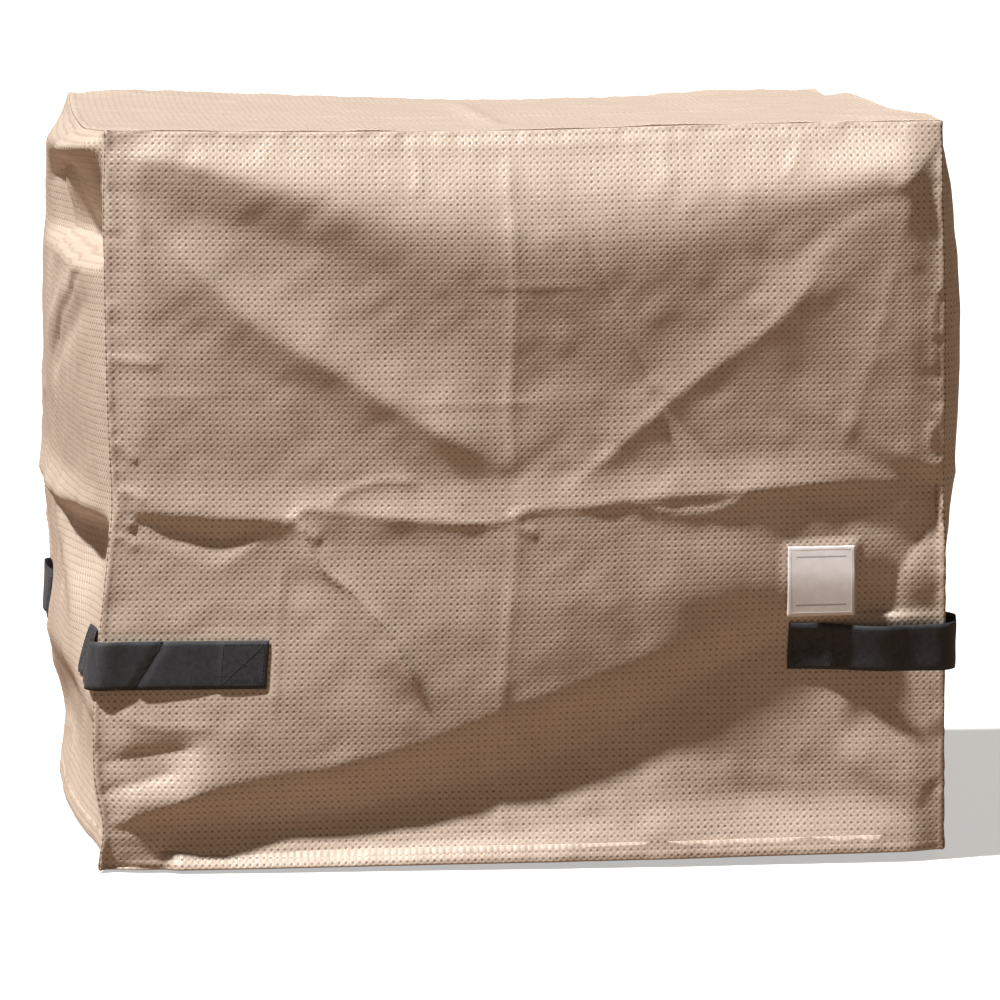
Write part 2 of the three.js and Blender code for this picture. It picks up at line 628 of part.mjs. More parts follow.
// The five panels. A wall's edges run so that its outer face looks away from the box. joins names the
// panel and the edge that lie on the far side of each seam, and flip is true where the two edges run
// in opposite ways.
function makePanels() {
  const upright = {};
  for (const [name, seam] of Object.entries(uprightSeams)) {
    upright[name] = uprightSeamPoints(seam);
  }
  const top = {};
  for (const [name, seam] of Object.entries(topSeams)) {
    top[name] = topSeamPoints(seam, upright);
  }
  const hem = (from, to) => hemPoints(upright[from][0], upright[to][0]);
  const reversed = (points) => [...points].reverse();
  const fine = 2 * seamSteps;
  const panels = {
    front_panel: {
      outward: new THREE.Vector3(0, -1, 0), rows: fine, columns: fine,
      from: -halfWidth, to: halfWidth, rise: height,
      folds: foldsOf(frontFolds, frontPulls, halfWidth, height),
      edges: {
        foot: hem('frontLeft', 'frontRight'), head: top.front,
        start: upright.frontLeft, end: upright.frontRight,
      },
      joins: {
        start: { panel: 'left_panel', edge: 'end', flip: false },
        end: { panel: 'right_panel', edge: 'start', flip: false },
        head: { panel: 'top_panel', edge: 'foot', flip: false },
      },
    },
    right_panel: {
      outward: new THREE.Vector3(1, 0, 0), rows: seamSteps, columns: seamSteps,
      from: -halfDepth, to: halfDepth, rise: height,
      folds: foldsOf(rightFolds, rightPulls, halfDepth, height),
      edges: {
        foot: hem('frontRight', 'backRight'), head: top.right,
        start: upright.frontRight, end: upright.backRight,
      },
      joins: {
        start: { panel: 'front_panel', edge: 'end', flip: false },
        end: { panel: 'back_panel', edge: 'start', flip: false },
        head: { panel: 'top_panel', edge: 'end', flip: false },
      },
    },
    back_panel: {
      outward: new THREE.Vector3(0, 1, 0), rows: seamSteps, columns: seamSteps,
      from: halfWidth, to: -halfWidth, rise: height,
      folds: foldsOf(backFolds, backPulls, halfWidth, height),
      edges: {
        foot: hem('backRight', 'backLeft'), head: reversed(top.back),
        start: upright.backRight, end: upright.backLeft,
      },
      joins: {
        start: { panel: 'right_panel', edge: 'end', flip: false },
        end: { panel: 'left_panel', edge: 'start', flip: false },
        head: { panel: 'top_panel', edge: 'head', flip: true },
      },
    },
    left_panel: {
      outward: new THREE.Vector3(-1, 0, 0), rows: fine, columns: seamSteps,
      from: halfDepth, to: -halfDepth, rise: height,
      folds: foldsOf(leftFolds, leftPulls, halfDepth, height),
      edges: {
        foot: hem('backLeft', 'frontLeft'), head: reversed(top.left),
        start: upright.backLeft, end: upright.frontLeft,
      },
      joins: {
        start: { panel: 'back_panel', edge: 'end', flip: false },
        end: { panel: 'front_panel', edge: 'start', flip: false },
        head: { panel: 'top_panel', edge: 'start', flip: true },
      },
    },
    top_panel: {
      outward: new THREE.Vector3(0, 0, 1), rows: seamSteps, columns: seamSteps,
      from: -halfWidth, to: halfWidth, rise: depth,
      folds: foldsOf(topFolds, topPulls, halfWidth, depth),
      edges: { foot: top.front, head: top.back, start: top.left, end: top.right },
      joins: {
        foot: { panel: 'front_panel', edge: 'head', flip: false },
        head: { panel: 'back_panel', edge: 'head', flip: true },
        start: { panel: 'left_panel', edge: 'head', flip: true },
        end: { panel: 'right_panel', edge: 'head', flip: false },
      },
    },
  };
  for (const panel of Object.values(panels)) {
    panel.places = gridPlaces(panel);
    panel.outer = outerGrid(panel);
  }
  for (const panel of Object.values(panels)) {
    const inner = innerGrid(panels, panel);
    panel.geometry = sheetGeometry(pulledGrid(panel, panel.outer), pulledGrid(panel, inner));
  }
  return panels;
}

// A point on a facet's edge counts as on it.
const edgeSlack = 1e-9;

// A point on a wall's facets and the way that the wall faces there.
function onWall(panel, across, h) {
  const target = new THREE.Vector3(across, h, 0);
  const flat = ([r, c]) => new THREE.Vector3(panel.places[r][c].across, panel.places[r][c].h, 0);
  const c = Math.floor(((across - panel.from) / (panel.to - panel.from)) * panel.columns);
  for (let r = 0; r < panel.rows; r += 1) {
    const halves = [
      [[r, c], [r, c + 1], [r + 1, c + 1]],
      [[r, c], [r + 1, c + 1], [r + 1, c]],
    ];
    for (const corners of halves) {
      const share = THREE.Triangle.getBarycoord(target, ...corners.map(flat), new THREE.Vector3());
      if (share && Math.min(share.x, share.y, share.z) >= -edgeSlack) {
        const [a, b, d] = corners.map(([i, k]) => panel.outer[i][k]);
        const point = a.clone().multiplyScalar(share.x).addScaledVector(b, share.y).addScaledVector(d, share.z);
        const nearRow = share.z > 0.5 ? r + 1 : r;
        return { point, normal: gridNormal(panel.outer, nearRow, c) };
      }
    }
  }
  throw new Error(`no cloth at ${across}, ${h}`);
}

// A strap runs along the front or back wall, round its corner and along the side wall.
function strapGeometry(panels, strap) {
  const seam = uprightSeams[strap.seam];
  const wall = seam.face < 0 ? panels.front_panel : panels.back_panel;
  const side = seam.side < 0 ? panels.left_panel : panels.right_panel;
  const longest = strap.wall[0].away;
  const stations = [
    ...strap.wall.map((row) => ({ panel: wall, across: seam.side * (halfWidth - row.away), row, sign: -1 })),
    ...strap.side.map((row) => ({ panel: side, across: seam.face * (halfDepth - row.away), row, sign: 1 })),
  ];
  const inner = [];
  const outer = [];
  for (let r = 0; r <= strapRowsAcross; r += 1) {
    const lift = (r / strapRowsAcross - 0.5) * webbingWidth;
    const innerLine = [];
    const outerLine = [];
    for (const station of stations) {
      const share = 0.5 + (0.5 * station.sign * station.row.away) / longest;
      const h = THREE.MathUtils.lerp(strap.wallHeight, strap.sideHeight, share) + lift;
      const { point, normal } = onWall(station.panel, station.across, h);
      const off = sewnGap + station.row.off;
      innerLine.push(point.clone().addScaledVector(normal, off));
      outerLine.push(point.clone().addScaledVector(normal, off + webbingThickness));
    }
    inner.push(innerLine);
    outer.push(outerLine);
  }
  const runsLeftward = seam.side * seam.face > 0;
  const order = (grid) => (runsLeftward ? grid.map((line) => [...line].reverse()) : grid);
  return sheetGeometry(order(outer), order(inner));
}

function labelGeometry(panels) {
  const inner = [];
  const outer = [];
  for (let r = 0; r <= labelSteps; r += 1) {
    const innerLine = [];
    const outerLine = [];
    for (let c = 0; c <= labelSteps; c += 1) {
      const x = labelMiddle.x + (c / labelSteps - 0.5) * labelSize;
      const h = labelMiddle.h + (r / labelSteps - 0.5) * labelSize;
      const { point, normal } = onWall(panels.front_panel, x, h);
      innerLine.push(point.clone().addScaledVector(normal, labelGap));
      outerLine.push(point.clone().addScaledVector(normal, labelGap + labelThickness));
    }
    inner.push(innerLine);
    outer.push(outerLine);
  }
  return sheetGeometry(outer, inner);
}

function makeCover() {
  const cover = new THREE.Group();
  const cloth = material(clothColour, 0.85);
  const webbing = material(webbingColour, 0.7);
  const panels = makePanels();
  for (const [name, panel] of Object.entries(panels)) {
    cover.add(namedMesh(name, panel.geometry, cloth));
  }
  for (const strap of straps) {
    cover.add(namedMesh(strap.name, strapGeometry(panels, strap), webbing));
  }
  cover.add(namedMesh('label', labelGeometry(panels), material(labelColour, 0.6)));
  return cover;
}

export default makeCover();
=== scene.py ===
# Fitted cloth cover for an outdoor air conditioner: five sewn panels, open below, with a webbing strap
# over each lower corner and a small woven label. Lengths in the tables are millimetres, in the frame's
# own axes: +Z up, the front towards -Y.

import math

import bpy
import numpy as np
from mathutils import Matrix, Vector


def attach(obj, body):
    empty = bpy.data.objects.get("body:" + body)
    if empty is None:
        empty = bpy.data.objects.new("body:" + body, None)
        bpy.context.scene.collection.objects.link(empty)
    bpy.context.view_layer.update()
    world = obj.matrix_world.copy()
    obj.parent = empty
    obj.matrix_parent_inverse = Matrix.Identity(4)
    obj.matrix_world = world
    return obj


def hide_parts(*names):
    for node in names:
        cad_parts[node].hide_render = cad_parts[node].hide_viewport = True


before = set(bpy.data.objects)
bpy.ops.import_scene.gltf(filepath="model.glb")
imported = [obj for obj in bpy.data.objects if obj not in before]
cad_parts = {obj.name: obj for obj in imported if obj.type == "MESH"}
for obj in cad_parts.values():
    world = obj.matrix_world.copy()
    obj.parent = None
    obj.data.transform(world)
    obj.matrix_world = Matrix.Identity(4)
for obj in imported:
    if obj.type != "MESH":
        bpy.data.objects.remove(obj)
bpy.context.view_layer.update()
print("frame loaded:", len(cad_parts), "nodes")

metre = 1000

# The cover's cut
cover = {
    "width": 864, "depth": 864, "height": 762, "clothThickness": 0.9,
    "carriedAt": 752,  # the top of the unit, above the hem
    "pullFade": 40,  # the pulls die out this near a seam
}
halfWidth = cover["width"] / 2
halfDepth = cover["depth"] / 2

uprightSeams = {
    # side and face are the signs of X and Y; rows are height above the hem, out across, out along
    "frontLeft": {"side": -1, "face": -1, "foot": -2, "head": 755, "rows": [
        (0, 8, 2), (42, 4, 3), (101, 13, 5), (141, 14, 5), (249, 6, 2), (350, -5, -2),
        (377, -7, -3), (480, -3, 0), (684, 0, 0), (762, -2, 0),
    ]},
    "frontRight": {"side": 1, "face": -1, "foot": 6, "head": 762, "rows": [
        (0, 5, -1), (180, 4, 5), (310, 3, 14), (390, 0, 18), (480, 0, 23), (580, -1, 25),
        (690, -3, 19), (762, -1, 0),
    ]},
    "backLeft": {"side": -1, "face": 1, "foot": -3, "head": 761, "rows": [
        (0, 8, 3), (60, 4, 2), (124, 18, 7), (228, 15, 8), (346, 28, 10), (489, 25, 7),
        (650, 17, 4), (725, 10, 1), (762, -3, 0),
    ]},
    "backRight": {"side": 1, "face": 1, "foot": 0, "head": 761, "rows": [
        (0, 5, 4), (120, 9, 8), (346, 15, 11), (520, 11, 8), (700, 5, 3), (762, 0, 0),
    ]},
}

topSeams = {
    # rows are the share of the way along, out, up
    "front": {"from": "frontLeft", "to": "frontRight", "axis": "y", "sign": -1, "rows": [
        (0, 0, 0), (0.25, 1, -3), (0.5, 2, -4), (0.7, 1, -1), (1, 0, 0),
    ]},
    "back": {"from": "backLeft", "to": "backRight", "axis": "y", "sign": 1, "rows": [
        (0, 0, 0), (0.06, 1, 3), (0.3, 3, -4), (0.58, 4, -10), (0.74, 3, -7), (0.88, 1, 0),
        (1, 0, 0),
    ]},
    "left": {"from": "frontLeft", "to": "backLeft", "axis": "x", "sign": -1, "rows": [
        (0, 0, 0), (0.06, 9, -1), (0.17, 16, -3), (0.5, 13, -4), (0.8, 6, -1), (1, 0, 0),
    ]},
    "right": {"from": "frontRight", "to": "backRight", "axis": "x", "sign": 1, "rows": [
        (0, 0, 0), (0.1, 2, 2), (0.38, 5, -2), (0.72, 5, 4), (0.92, 2, -4), (1, 0, 0),
    ]},
}

# Fold lines: name, height at each station (or one height for all), how far the cloth stands out there
frontFolds = {
    "stations": [-390, -260, -130, 0, 130, 260, 390],
    "rows": [
        ("hem", 0, [13, 18, 20, 22, 23, 18, 14]),
        ("hem flare", [14, 12, 22, 36, 60, 70, 60], [9, 9, 6, 8, 9, -3, 4]),
        ("tuck above the hem", [44, 46, 66, 96, 148, 214, 190], [3, -2, -6, -4, -2, -3, -1]),
        ("belly", [74, 100, 124, 172, 218, 256, 240], [12, 16, 17, 22, 20, 9, 3]),
        ("waist", [285, 290, 282, 280, 288, 300, 295], [2, 9, 23, 29, 25, 15, 10]),
        ("under the packing crease", [341, 335, 331, 328, 338, 345, 345], [3, 12, 23, 29, 24, 15, 8]),
        ("packing crease", [373, 365, 361, 369, 378, 387, 395], [9, 17, 25, 28, 25, 19, 9]),
        ("over the packing crease", [412, 408, 405, 412, 420, 430, 440], [7, 14, 21, 24, 20, 15, 8]),
        ("field", [520, 520, 520, 490, 500, 530, 555], [8, 16, 21, 24, 21, 15, 9]),
        ("lee of the shoulder", [670, 650, 600, 555, 570, 620, 680], [9, 19, 26, 29, 25, 19, 12]),
        ("shoulder", [728, 700, 662, 636, 648, 676, 714], [12, 26, 33, 37, 32, 25, 17]),
        ("edge of the top", [751, 748, 746, 745, 746, 748, 750], [4, 6, 8, 9, 8, 7, 5]),
    ],
}
leftFolds = {
    "stations": [-405, -340, -220, -130, 80, 280, 400],
    "rows": [
        ("hem", 0, [-5, -9, -5, 2, 10, 8, 2]),
        ("tuck above the hem", [85, 95, 112, 122, 116, 100, 85], [-5, -12, -18, -18, -12, -9, -4]),
        ("belly", [150, 165, 186, 198, 190, 170, 150], [-2, -2, 6, 14, 16, 11, 3]),
        ("waist", [250, 250, 255, 262, 262, 258, 255], [-10, -16, -8, 4, 9, 6, 1]),
        ("under the packing crease", [330, 330, 330, 330, 332, 330, 330], [-18, -34, -28, -8, 5, 5, 1]),
        ("packing crease", [370, 369, 365, 360, 354, 350, 347], [3, 8, 14, 18, 16, 10, 4]),
        ("over the packing crease", [400, 400, 398, 392, 390, 388, 386], [3, 6, 9, 11, 10, 6, 2]),
        ("field", 500, [3, 7, 11, 15, 14, 9, 3]),
        ("foot of the corner hollow", [616, 616, 616, 616, 612, 606, 600], [2, 6, 9, 12, 13, 11, 5]),
        ("corner hollow", [640, 640, 640, 640, 634, 636, 640], [-16, -30, -31, -29, -6, 9, 5]),
        ("brow of the corner hollow", [712, 708, 704, 700, 690, 672, 668], [-5, -6, -4, 2, 11, 11, 5]),
        ("ridge over the corner hollow", [746, 742, 738, 734, 728, 712, 700], [4, 13, 18, 21, 20, 12, 5]),
    ],
}
rightFolds = {
    "stations": [-405, -370, -300, -150, 60, 260, 400],
    "rows": [
        ("hem", 0, [2, 4, 8, 14, 16, 12, 4]),
        ("tuck above the hem", [80, 82, 86, 92, 96, 92, 84], [0, 0, -2, -7, -9, -6, -2]),
        ("belly", [150, 154, 162, 174, 180, 172, 160], [3, 6, 10, 16, 18, 12, 4]),
        ("waist", 285, [2, 3, 4, 5, 7, 5, 2]),
        ("under the packing crease", [345, 345, 342, 338, 334, 332, 330], [8, 11, 8, 0, -3, -1, 0]),
        ("packing crease", [393, 391, 388, 382, 376, 370, 365], [13, 18, 18, 16, 15, 12, 5]),
        ("over the packing crease", [435, 433, 430, 424, 418, 412, 408], [14, 21, 18, 11, 9, 8, 3]),
        ("roll behind the seam", 550, [14, 23, 20, 10, 8, 7, 3]),
        ("lee of the shoulder", [650, 650, 645, 635, 625, 630, 640], [11, 18, 17, 11, 10, 8, 3]),
        ("shoulder", [725, 722, 715, 700, 690, 695, 705], [6, 9, 11, 14, 16, 12, 4]),
    ],
}
backFolds = {
    "stations": [-390, -260, -130, 0, 130, 260, 390],
    "rows": [
        ("hem", 0, [6, 16, 22, 24, 21, 15, 6]),
        ("tuck above the hem", [70, 82, 96, 106, 96, 84, 70], [0, -3, -5, -5, -5, -3, 0]),
        ("belly", [130, 152, 176, 190, 178, 160, 140], [8, 18, 26, 28, 24, 16, 7]),
        ("waist", 285, [4, 8, 10, 12, 10, 8, 3]),
        ("under the packing crease", [330, 328, 328, 330, 334, 336, 338], [0, 2, 4, 4, 3, 0, -3]),
        ("packing crease", [366, 362, 360, 364, 370, 376, 380], [8, 12, 14, 15, 15, 14, 9]),
        ("over the packing crease", [405, 402, 400, 404, 410, 415, 418], [4, 8, 11, 12, 11, 9, 5]),
        ("field", 530, [4, 10, 14, 16, 14, 9, 4]),
        ("lee of the shoulder", [660, 630, 610, 600, 612, 634, 665], [2, 7, 13, 17, 14, 8, 2]),
        ("shoulder", [722, 700, 680, 668, 678, 698, 720], [5, 13, 20, 24, 21, 14, 5]),
    ],
}
topFolds = {
    "stations": [-390, -260, -130, 0, 130, 260, 390],
    "rows": [
        ("behind the front seam", 42, [1, 1, 0, 0, 1, 1, 1]),
        ("front sag", 220, [-2, -4, -5, -4, -4, -3, -2]),
        ("packing crease", 432, [-1, -3, -3, -2, -2, -2, -1]),
        ("back sag", 640, [-2, -4, -4, -3, -2, -2, -2]),
        ("before the back seam", 822, [1, 0, 1, 1, 2, 1, 1]),
    ],
}
# Pulls across the folds: name, from, to, half width, how far out
frontPulls = [
    ("from the top left corner", (-404, 642), (0, 396), 30, 6),
    ("hollow above it", (-372, 706), (-60, 540), 40, -3),
    ("from the top right corner", (418, 735), (210, 500), 40, 5),
    ("down to the packing crease", (300, 612), (30, 385), 24, 2),
    ("arc below the packing crease", (-240, 350), (-105, 175), 18, 5),
    ("bottom left fold", (-430, 44), (-290, 96), 24, 6),
    ("crease above the bottom left fold", (-430, 90), (-330, 126), 22, -4),
    ("bottom right fold", (424, 60), (330, 110), 24, 4),
]
leftPulls = [
    ("ridge down and back", (-340, 620), (110, 515), 20, 5),
    ("slit before the ridge", (-372, 585), (70, 475), 16, -4),
    ("rib in the hollow", (-350, 350), (-412, 275), 12, 7),
    ("pull to the strap", (80, 340), (-215, 236), 24, 7),
]
rightPulls = [
    ("pull from the strap", (-380, 230), (60, 330), 26, 7),
    ("pull from the top corner", (400, 730), (60, 470), 34, 7),
]
backPulls = [
    ("from the left corner", (-410, 735), (-80, 430), 36, 7),
    ("from the right corner", (410, 735), (140, 480), 36, 7),
]
topPulls = [
    ("packing crease from front to back", (0, 30), (0, 834), 14, 2),
]

straps = [
    {"name": "front_left_strap", "seam": "frontLeft", "wallHeight": 212, "sideHeight": 212,
     "wall": [(172, 0), (158, 0), (142, 0), (122, 0), (96, 1), (66, 2), (32, 4), (5, 8)],
     "side": [(5, 8), (32, 9), (66, 8), (96, 4), (120, 1), (138, 0), (152, 0), (166, 0)]},
    {"name": "front_right_strap", "seam": "frontRight", "wallHeight": 219, "sideHeight": 212,
     "wall": [(162, 0), (148, 0.5), (132, 1), (114, 4), (92, 10), (66, 14), (34, 11), (5, 9)],
     "side": [(5, 8), (32, 10), (66, 12), (96, 8), (120, 2), (138, 0), (152, 0), (166, 0)]},
    {"name": "back_left_strap", "seam": "backLeft", "wallHeight": 206, "sideHeight": 206,
     "wall": [(166, 0), (152, 0), (138, 0), (120, 1), (96, 6), (66, 9), (32, 10), (5, 8)],
     "side": [(5, 8), (32, 9), (66, 8), (96, 5), (120, 1), (138, 0), (152, 0), (166, 0)]},
    {"name": "back_right_strap", "seam": "backRight", "wallHeight": 212, "sideHeight": 212,
     "wall": [(166, 0), (152, 0), (138, 0), (120, 1), (96, 6), (66, 9), (32, 10), (5, 8)],
     "side": [(5, 8), (32, 10), (66, 9), (96, 6), (120, 1), (138, 0), (152, 0), (166, 0)]},
]

# Creases: name, line, how far out, reach on the left and on the right of it, roundness
frontCreases = [
    ("packing crease", [(-429, 392), (-416, 377), (-398, 371), (-334, 364), (-262, 362), (-236, 372),
                        (-214, 371), (-127, 361), (-60, 357), (-27, 360), (0, 370), (56, 372), (110, 377),
                        (221, 384), (317, 390), (400, 394), (431, 410)], 2.8, 13, 6, 0.7),
    ("packing crease up", [(-16, 758), (-20, 735), (-16, 600), (-22, 480), (-17, 380)], 1.7, 8, 5, 0.8),
    ("packing crease down", [(-16, 372), (-20, 250), (-24, 120), (-26, 4)], 1.6, 8, 5, 0.8),
    ("knot at the left seam", [(-436, 386), (-420, 364), (-404, 352)], 4.6, 6, 5, 0.8),
    ("pucker over the knot", [(-438, 398), (-414, 390), (-394, 380)], 2.6, 4, 5, 0.7),
    ("pucker under the knot", [(-438, 350), (-416, 342), (-400, 330)], 2.8, 5, 4, 0.7),
    ("branch above the packing crease", [(-214, 373), (-190, 392), (-150, 402), (-110, 398)],
     1.7, 5, 6, 0.8),
    ("branch on the right", [(96, 376), (150, 362), (196, 366), (232, 384)], 1.8, 5, 8, 0.8),
    ("small step in the crease", [(-20, 372), (-14, 352), (8, 344)], 2.0, 5, 5, 0.8),
    ("short fold by the arc", [(-252, 330), (-253, 240), (-252, 136)], 1.2, 4, 6, 0.7),
    ("arc", [(-246, 376), (-217, 316), (-179, 285), (-145, 248), (-117, 202), (-95, 160)],
     4.4, 6, 4, 0.5),
    ("head of the arc", [(-250, 368), (-236, 352), (-214, 340)], 3.0, 6, 9, 1.0),
    ("centre wrinkle", [(52, 668), (70, 616), (127, 489), (152, 425), (190, 372)], -2.0, 6, 5, 0.8),
    ("centre wrinkle's branch", [(120, 498), (176, 430), (230, 374)], -1.8, 6, 6, 0.8),
    ("long diagonal", [(312, 622), (249, 556), (156, 489), (67, 414), (14, 374)], 1.9, 12, 8, 1.4),
    ("right diagonal", [(404, 706), (387, 650), (335, 455), (292, 398)], 1.2, 9, 16, 2.0),
    ("left diagonal", [(-420, 700), (-293, 574), (-200, 516), (-108, 458), (-5, 404)], 3.6, 30, 14, 3.0),
    ("upper flat fold", [(-60, 602), (64, 601)], 0.9, 5, 3, 0.6),
    ("middle flat fold", [(-132, 479), (20, 481)], 0.9, 5, 3, 0.6),
    ("left flat fold", [(-402, 489), (-300, 492)], 0.8, 5, 3, 0.6),
    ("wrinkle at the left seam", [(-428, 528), (-374, 522)], 1.8, 5, 4, 0.8),
    ("lower wrinkle at the left seam", [(-428, 446), (-404, 420)], 2.0, 5, 4, 0.8),
    ("fan at the left corner", [(-430, 744), (-404, 690), (-392, 640)], 2.2, 7, 6, 1.0),
    ("second fan at the left corner", [(-431, 716), (-419, 650)], 1.8, 5, 5, 0.8),
    ("fan at the right corner", [(430, 748), (404, 712), (372, 690)], 2.0, 8, 6, 1.0),
    ("pucker by the right seam", [(431, 600), (419, 560), (421, 494)], 1.8, 5, 5, 0.8),
    ("hook by the right seam", [(420, 452), (417, 424), (430, 398)], 2.2, 5, 5, 0.8),
    ("shadowed tuck on the left", [(-440, 372), (-400, 360), (-352, 350), (-318, 343), (-286, 352),
     (-262, 364)], -5.0, 9, 17, 1.2),
    ("edge of the tuck", [(-410, 344), (-380, 334), (-322, 314), (-284, 336), (-256, 352)],
     1.1, 7, 16, 1.6),
    ("valley beside the label", [(437, 396), (412, 345), (380, 290), (346, 226)], -12.0, 24, 58, 1.6),
    ("hollow by the label", [(262, 376), (330, 366), (420, 382)], -2.0, 8, 22, 3.0),
    ("fold at the lower left", [(-430, 46), (-372, 62), (-318, 84)], 3.0, 8, 5, 1.0),
    ("crease over it", [(-430, 80), (-344, 104)], -3.2, 6, 7, 1.0),
    ("small crease over it", [(-431, 110), (-372, 122), (-318, 126)], -2.3, 5, 8, 0.9),
    ("curl at the hem's corner", [(-448, 3), (-410, 2), (-350, 0)], -11.0, 14, 6, 1.2),
    ("ridge over the curl", [(-431, 34), (-398, 32), (-366, 24)], 1.6, 8, 7, 1.2),
    ("fold at the lower right", [(424, 22), (380, 56), (314, 116)], 0.9, 9, 14, 1.6),
    ("crease by it", [(430, 50), (350, 102)], -0.7, 6, 6, 1.0),
    ("pucker at the lower right", [(431, 84), (408, 66), (402, 40)], 0.9, 5, 5, 0.8),
    ("gather under the top", [(-120, 760), (-112, 722), (-116, 690)], 1.4, 6, 6, 0.8),
    ("second gather under the top", [(148, 760), (140, 728), (150, 700)], 1.3, 6, 6, 0.8),
    ("third gather under the top", [(286, 760), (276, 726), (262, 700)], 1.3, 6, 6, 0.8),
    ("fold under the left strap", [(-420, 176), (-380, 150), (-300, 146)], 1.6, 7, 6, 1.0),
    ("long low fold", [(-200, 60), (-60, 96), (60, 128), (170, 150)], 1.4, 10, 6, 1.4),
]
leftCreases = [
    ("packing crease", [(-428, 374), (-340, 369), (-220, 364), (-130, 359), (80, 353), (280, 349),
                        (428, 346)], 3.0, 14, 8, 1.2),
    ("packing crease up", [(4, 758), (-2, 560), (3, 370)], 1.8, 7, 6, 0.8),
    ("packing crease down", [(3, 340), (-2, 180), (4, 4)], 1.8, 7, 6, 0.8),
    ("slit before the ridge", [(-386, 628), (-190, 572), (70, 486)], -3.2, 4, 9, 0.6),
    ("ridge over the corner hollow", [(-440, 746), (-380, 744), (-320, 742), (-260, 740), (-190, 736)],
     12.0, 14, 9, 2.5),
    ("lip of the corner hollow", [(-424, 634), (-300, 631), (-100, 630), (50, 628), (120, 630)],
     8.0, 4, 12, 0.8),
    ("back of the corner hollow", [(-300, 722), (-60, 714), (80, 704), (150, 690), (210, 668)],
     -19.0, 9, 80, 1.5),
    ("tuck under the packing crease", [(-424, 348), (-330, 342), (-240, 352)], -6.0, 8, 16, 2.0),
    ("ridge of the tuck", [(-420, 318), (-330, 268), (-250, 300), (-200, 352)], 3.0, 8, 10, 2.0),
    ("back crease", [(428, 462), (300, 440), (160, 452)], 2.4, 7, 8, 1.0),
    ("crescent", [(-424, 176), (-330, 134), (-180, 132), (-70, 180)], -6.0, 12, 14, 3.0),
    ("fold over the back strap", [(420, 300), (330, 246), (240, 150)], 4.0, 10, 9, 1.6),
    ("fold at the hem", [(-424, 60), (-300, 40), (-180, 48)], 2.2, 9, 7, 1.2),
    ("second fold at the hem", [(120, 36), (260, 58), (420, 40)], 2.0, 9, 7, 1.2),
]
rightCreases = [
    ("packing crease", [(-428, 408), (-388, 392), (-300, 387), (-150, 382), (60, 376), (260, 370),
                        (428, 364)], 4.2, 14, 6, 1.2),
    ("packing crease up", [(2, 758), (-3, 560), (3, 396)], 1.8, 7, 6, 0.8),
    ("packing crease down", [(3, 366), (-3, 180), (2, 4)], 1.8, 7, 6, 0.8),
    ("rib by the front seam", [(-424, 700), (-414, 600), (-422, 500), (-414, 440)], 2.2, 6, 7, 1.2),
    ("diagonal from the front corner", [(-424, 738), (-250, 560), (-80, 440)], 3.0, 14, 18, 3.0),
    ("diagonal from the back corner", [(424, 738), (300, 600), (120, 470)], 3.0, 16, 12, 3.0),
    ("wrinkle in the middle", [(-60, 620), (10, 540), (30, 470)], -2.0, 6, 6, 0.9),
    ("pull from the front strap", [(-300, 232), (-180, 270), (-40, 330)], 2.8, 10, 8, 1.4),
    ("pull from the back strap", [(300, 226), (210, 280), (90, 326)], 2.6, 9, 10, 1.4),
    ("tuck under the packing crease", [(120, 356), (240, 342), (400, 344)], -4.5, 8, 16, 2.0),
    ("crest of the belly", [(-420, 70), (-200, 120), (40, 176), (260, 150), (420, 90)], 3.0, 26, 9, 2.0),
    ("fold at the hem", [(-424, 40), (-330, 70)], 2.4, 9, 7, 1.2),
    ("second fold at the hem", [(424, 44), (320, 76)], 2.4, 7, 9, 1.2),
]
backCreases = [
    ("packing crease", [(-428, 378), (-390, 366), (-260, 362), (-130, 360), (0, 364), (130, 370),
                        (260, 376), (428, 388)], 4.2, 14, 6, 1.2),
    ("packing crease up", [(6, 758), (0, 560), (5, 384)], 1.8, 7, 6, 0.8),
    ("packing crease down", [(5, 350), (0, 180), (6, 4)], 1.8, 7, 6, 0.8),
    ("diagonal from the left corner", [(-424, 740), (-250, 590), (-60, 430)], 3.0, 14, 18, 3.0),
    ("diagonal from the right corner", [(424, 740), (290, 600), (130, 440)], 3.0, 18, 14, 3.0),
    ("wrinkle across it", [(-150, 640), (-110, 560), (-60, 500)], -2.0, 6, 6, 0.9),
    ("second wrinkle", [(60, 560), (110, 470), (150, 390)], -2.0, 6, 6, 0.9),
    ("arc", [(170, 372), (150, 310), (100, 250), (70, 180)], 3.0, 8, 8, 1.0),
    ("crest of the belly", [(-420, 60), (-280, 110), (-60, 180), (80, 196), (280, 150), (420, 70)],
     3.0, 28, 9, 2.0),
    ("pull from the left strap", [(-300, 230), (-220, 270), (-120, 330)], 2.6, 9, 9, 1.4),
    ("pull from the right strap", [(290, 234), (220, 280), (150, 330)], 2.6, 9, 9, 1.4),
    ("fold at the hem", [(-424, 36), (-330, 66)], 2.6, 9, 7, 1.2),
    ("second fold at the hem", [(424, 36), (330, 62)], 2.6, 7, 9, 1.2),
]
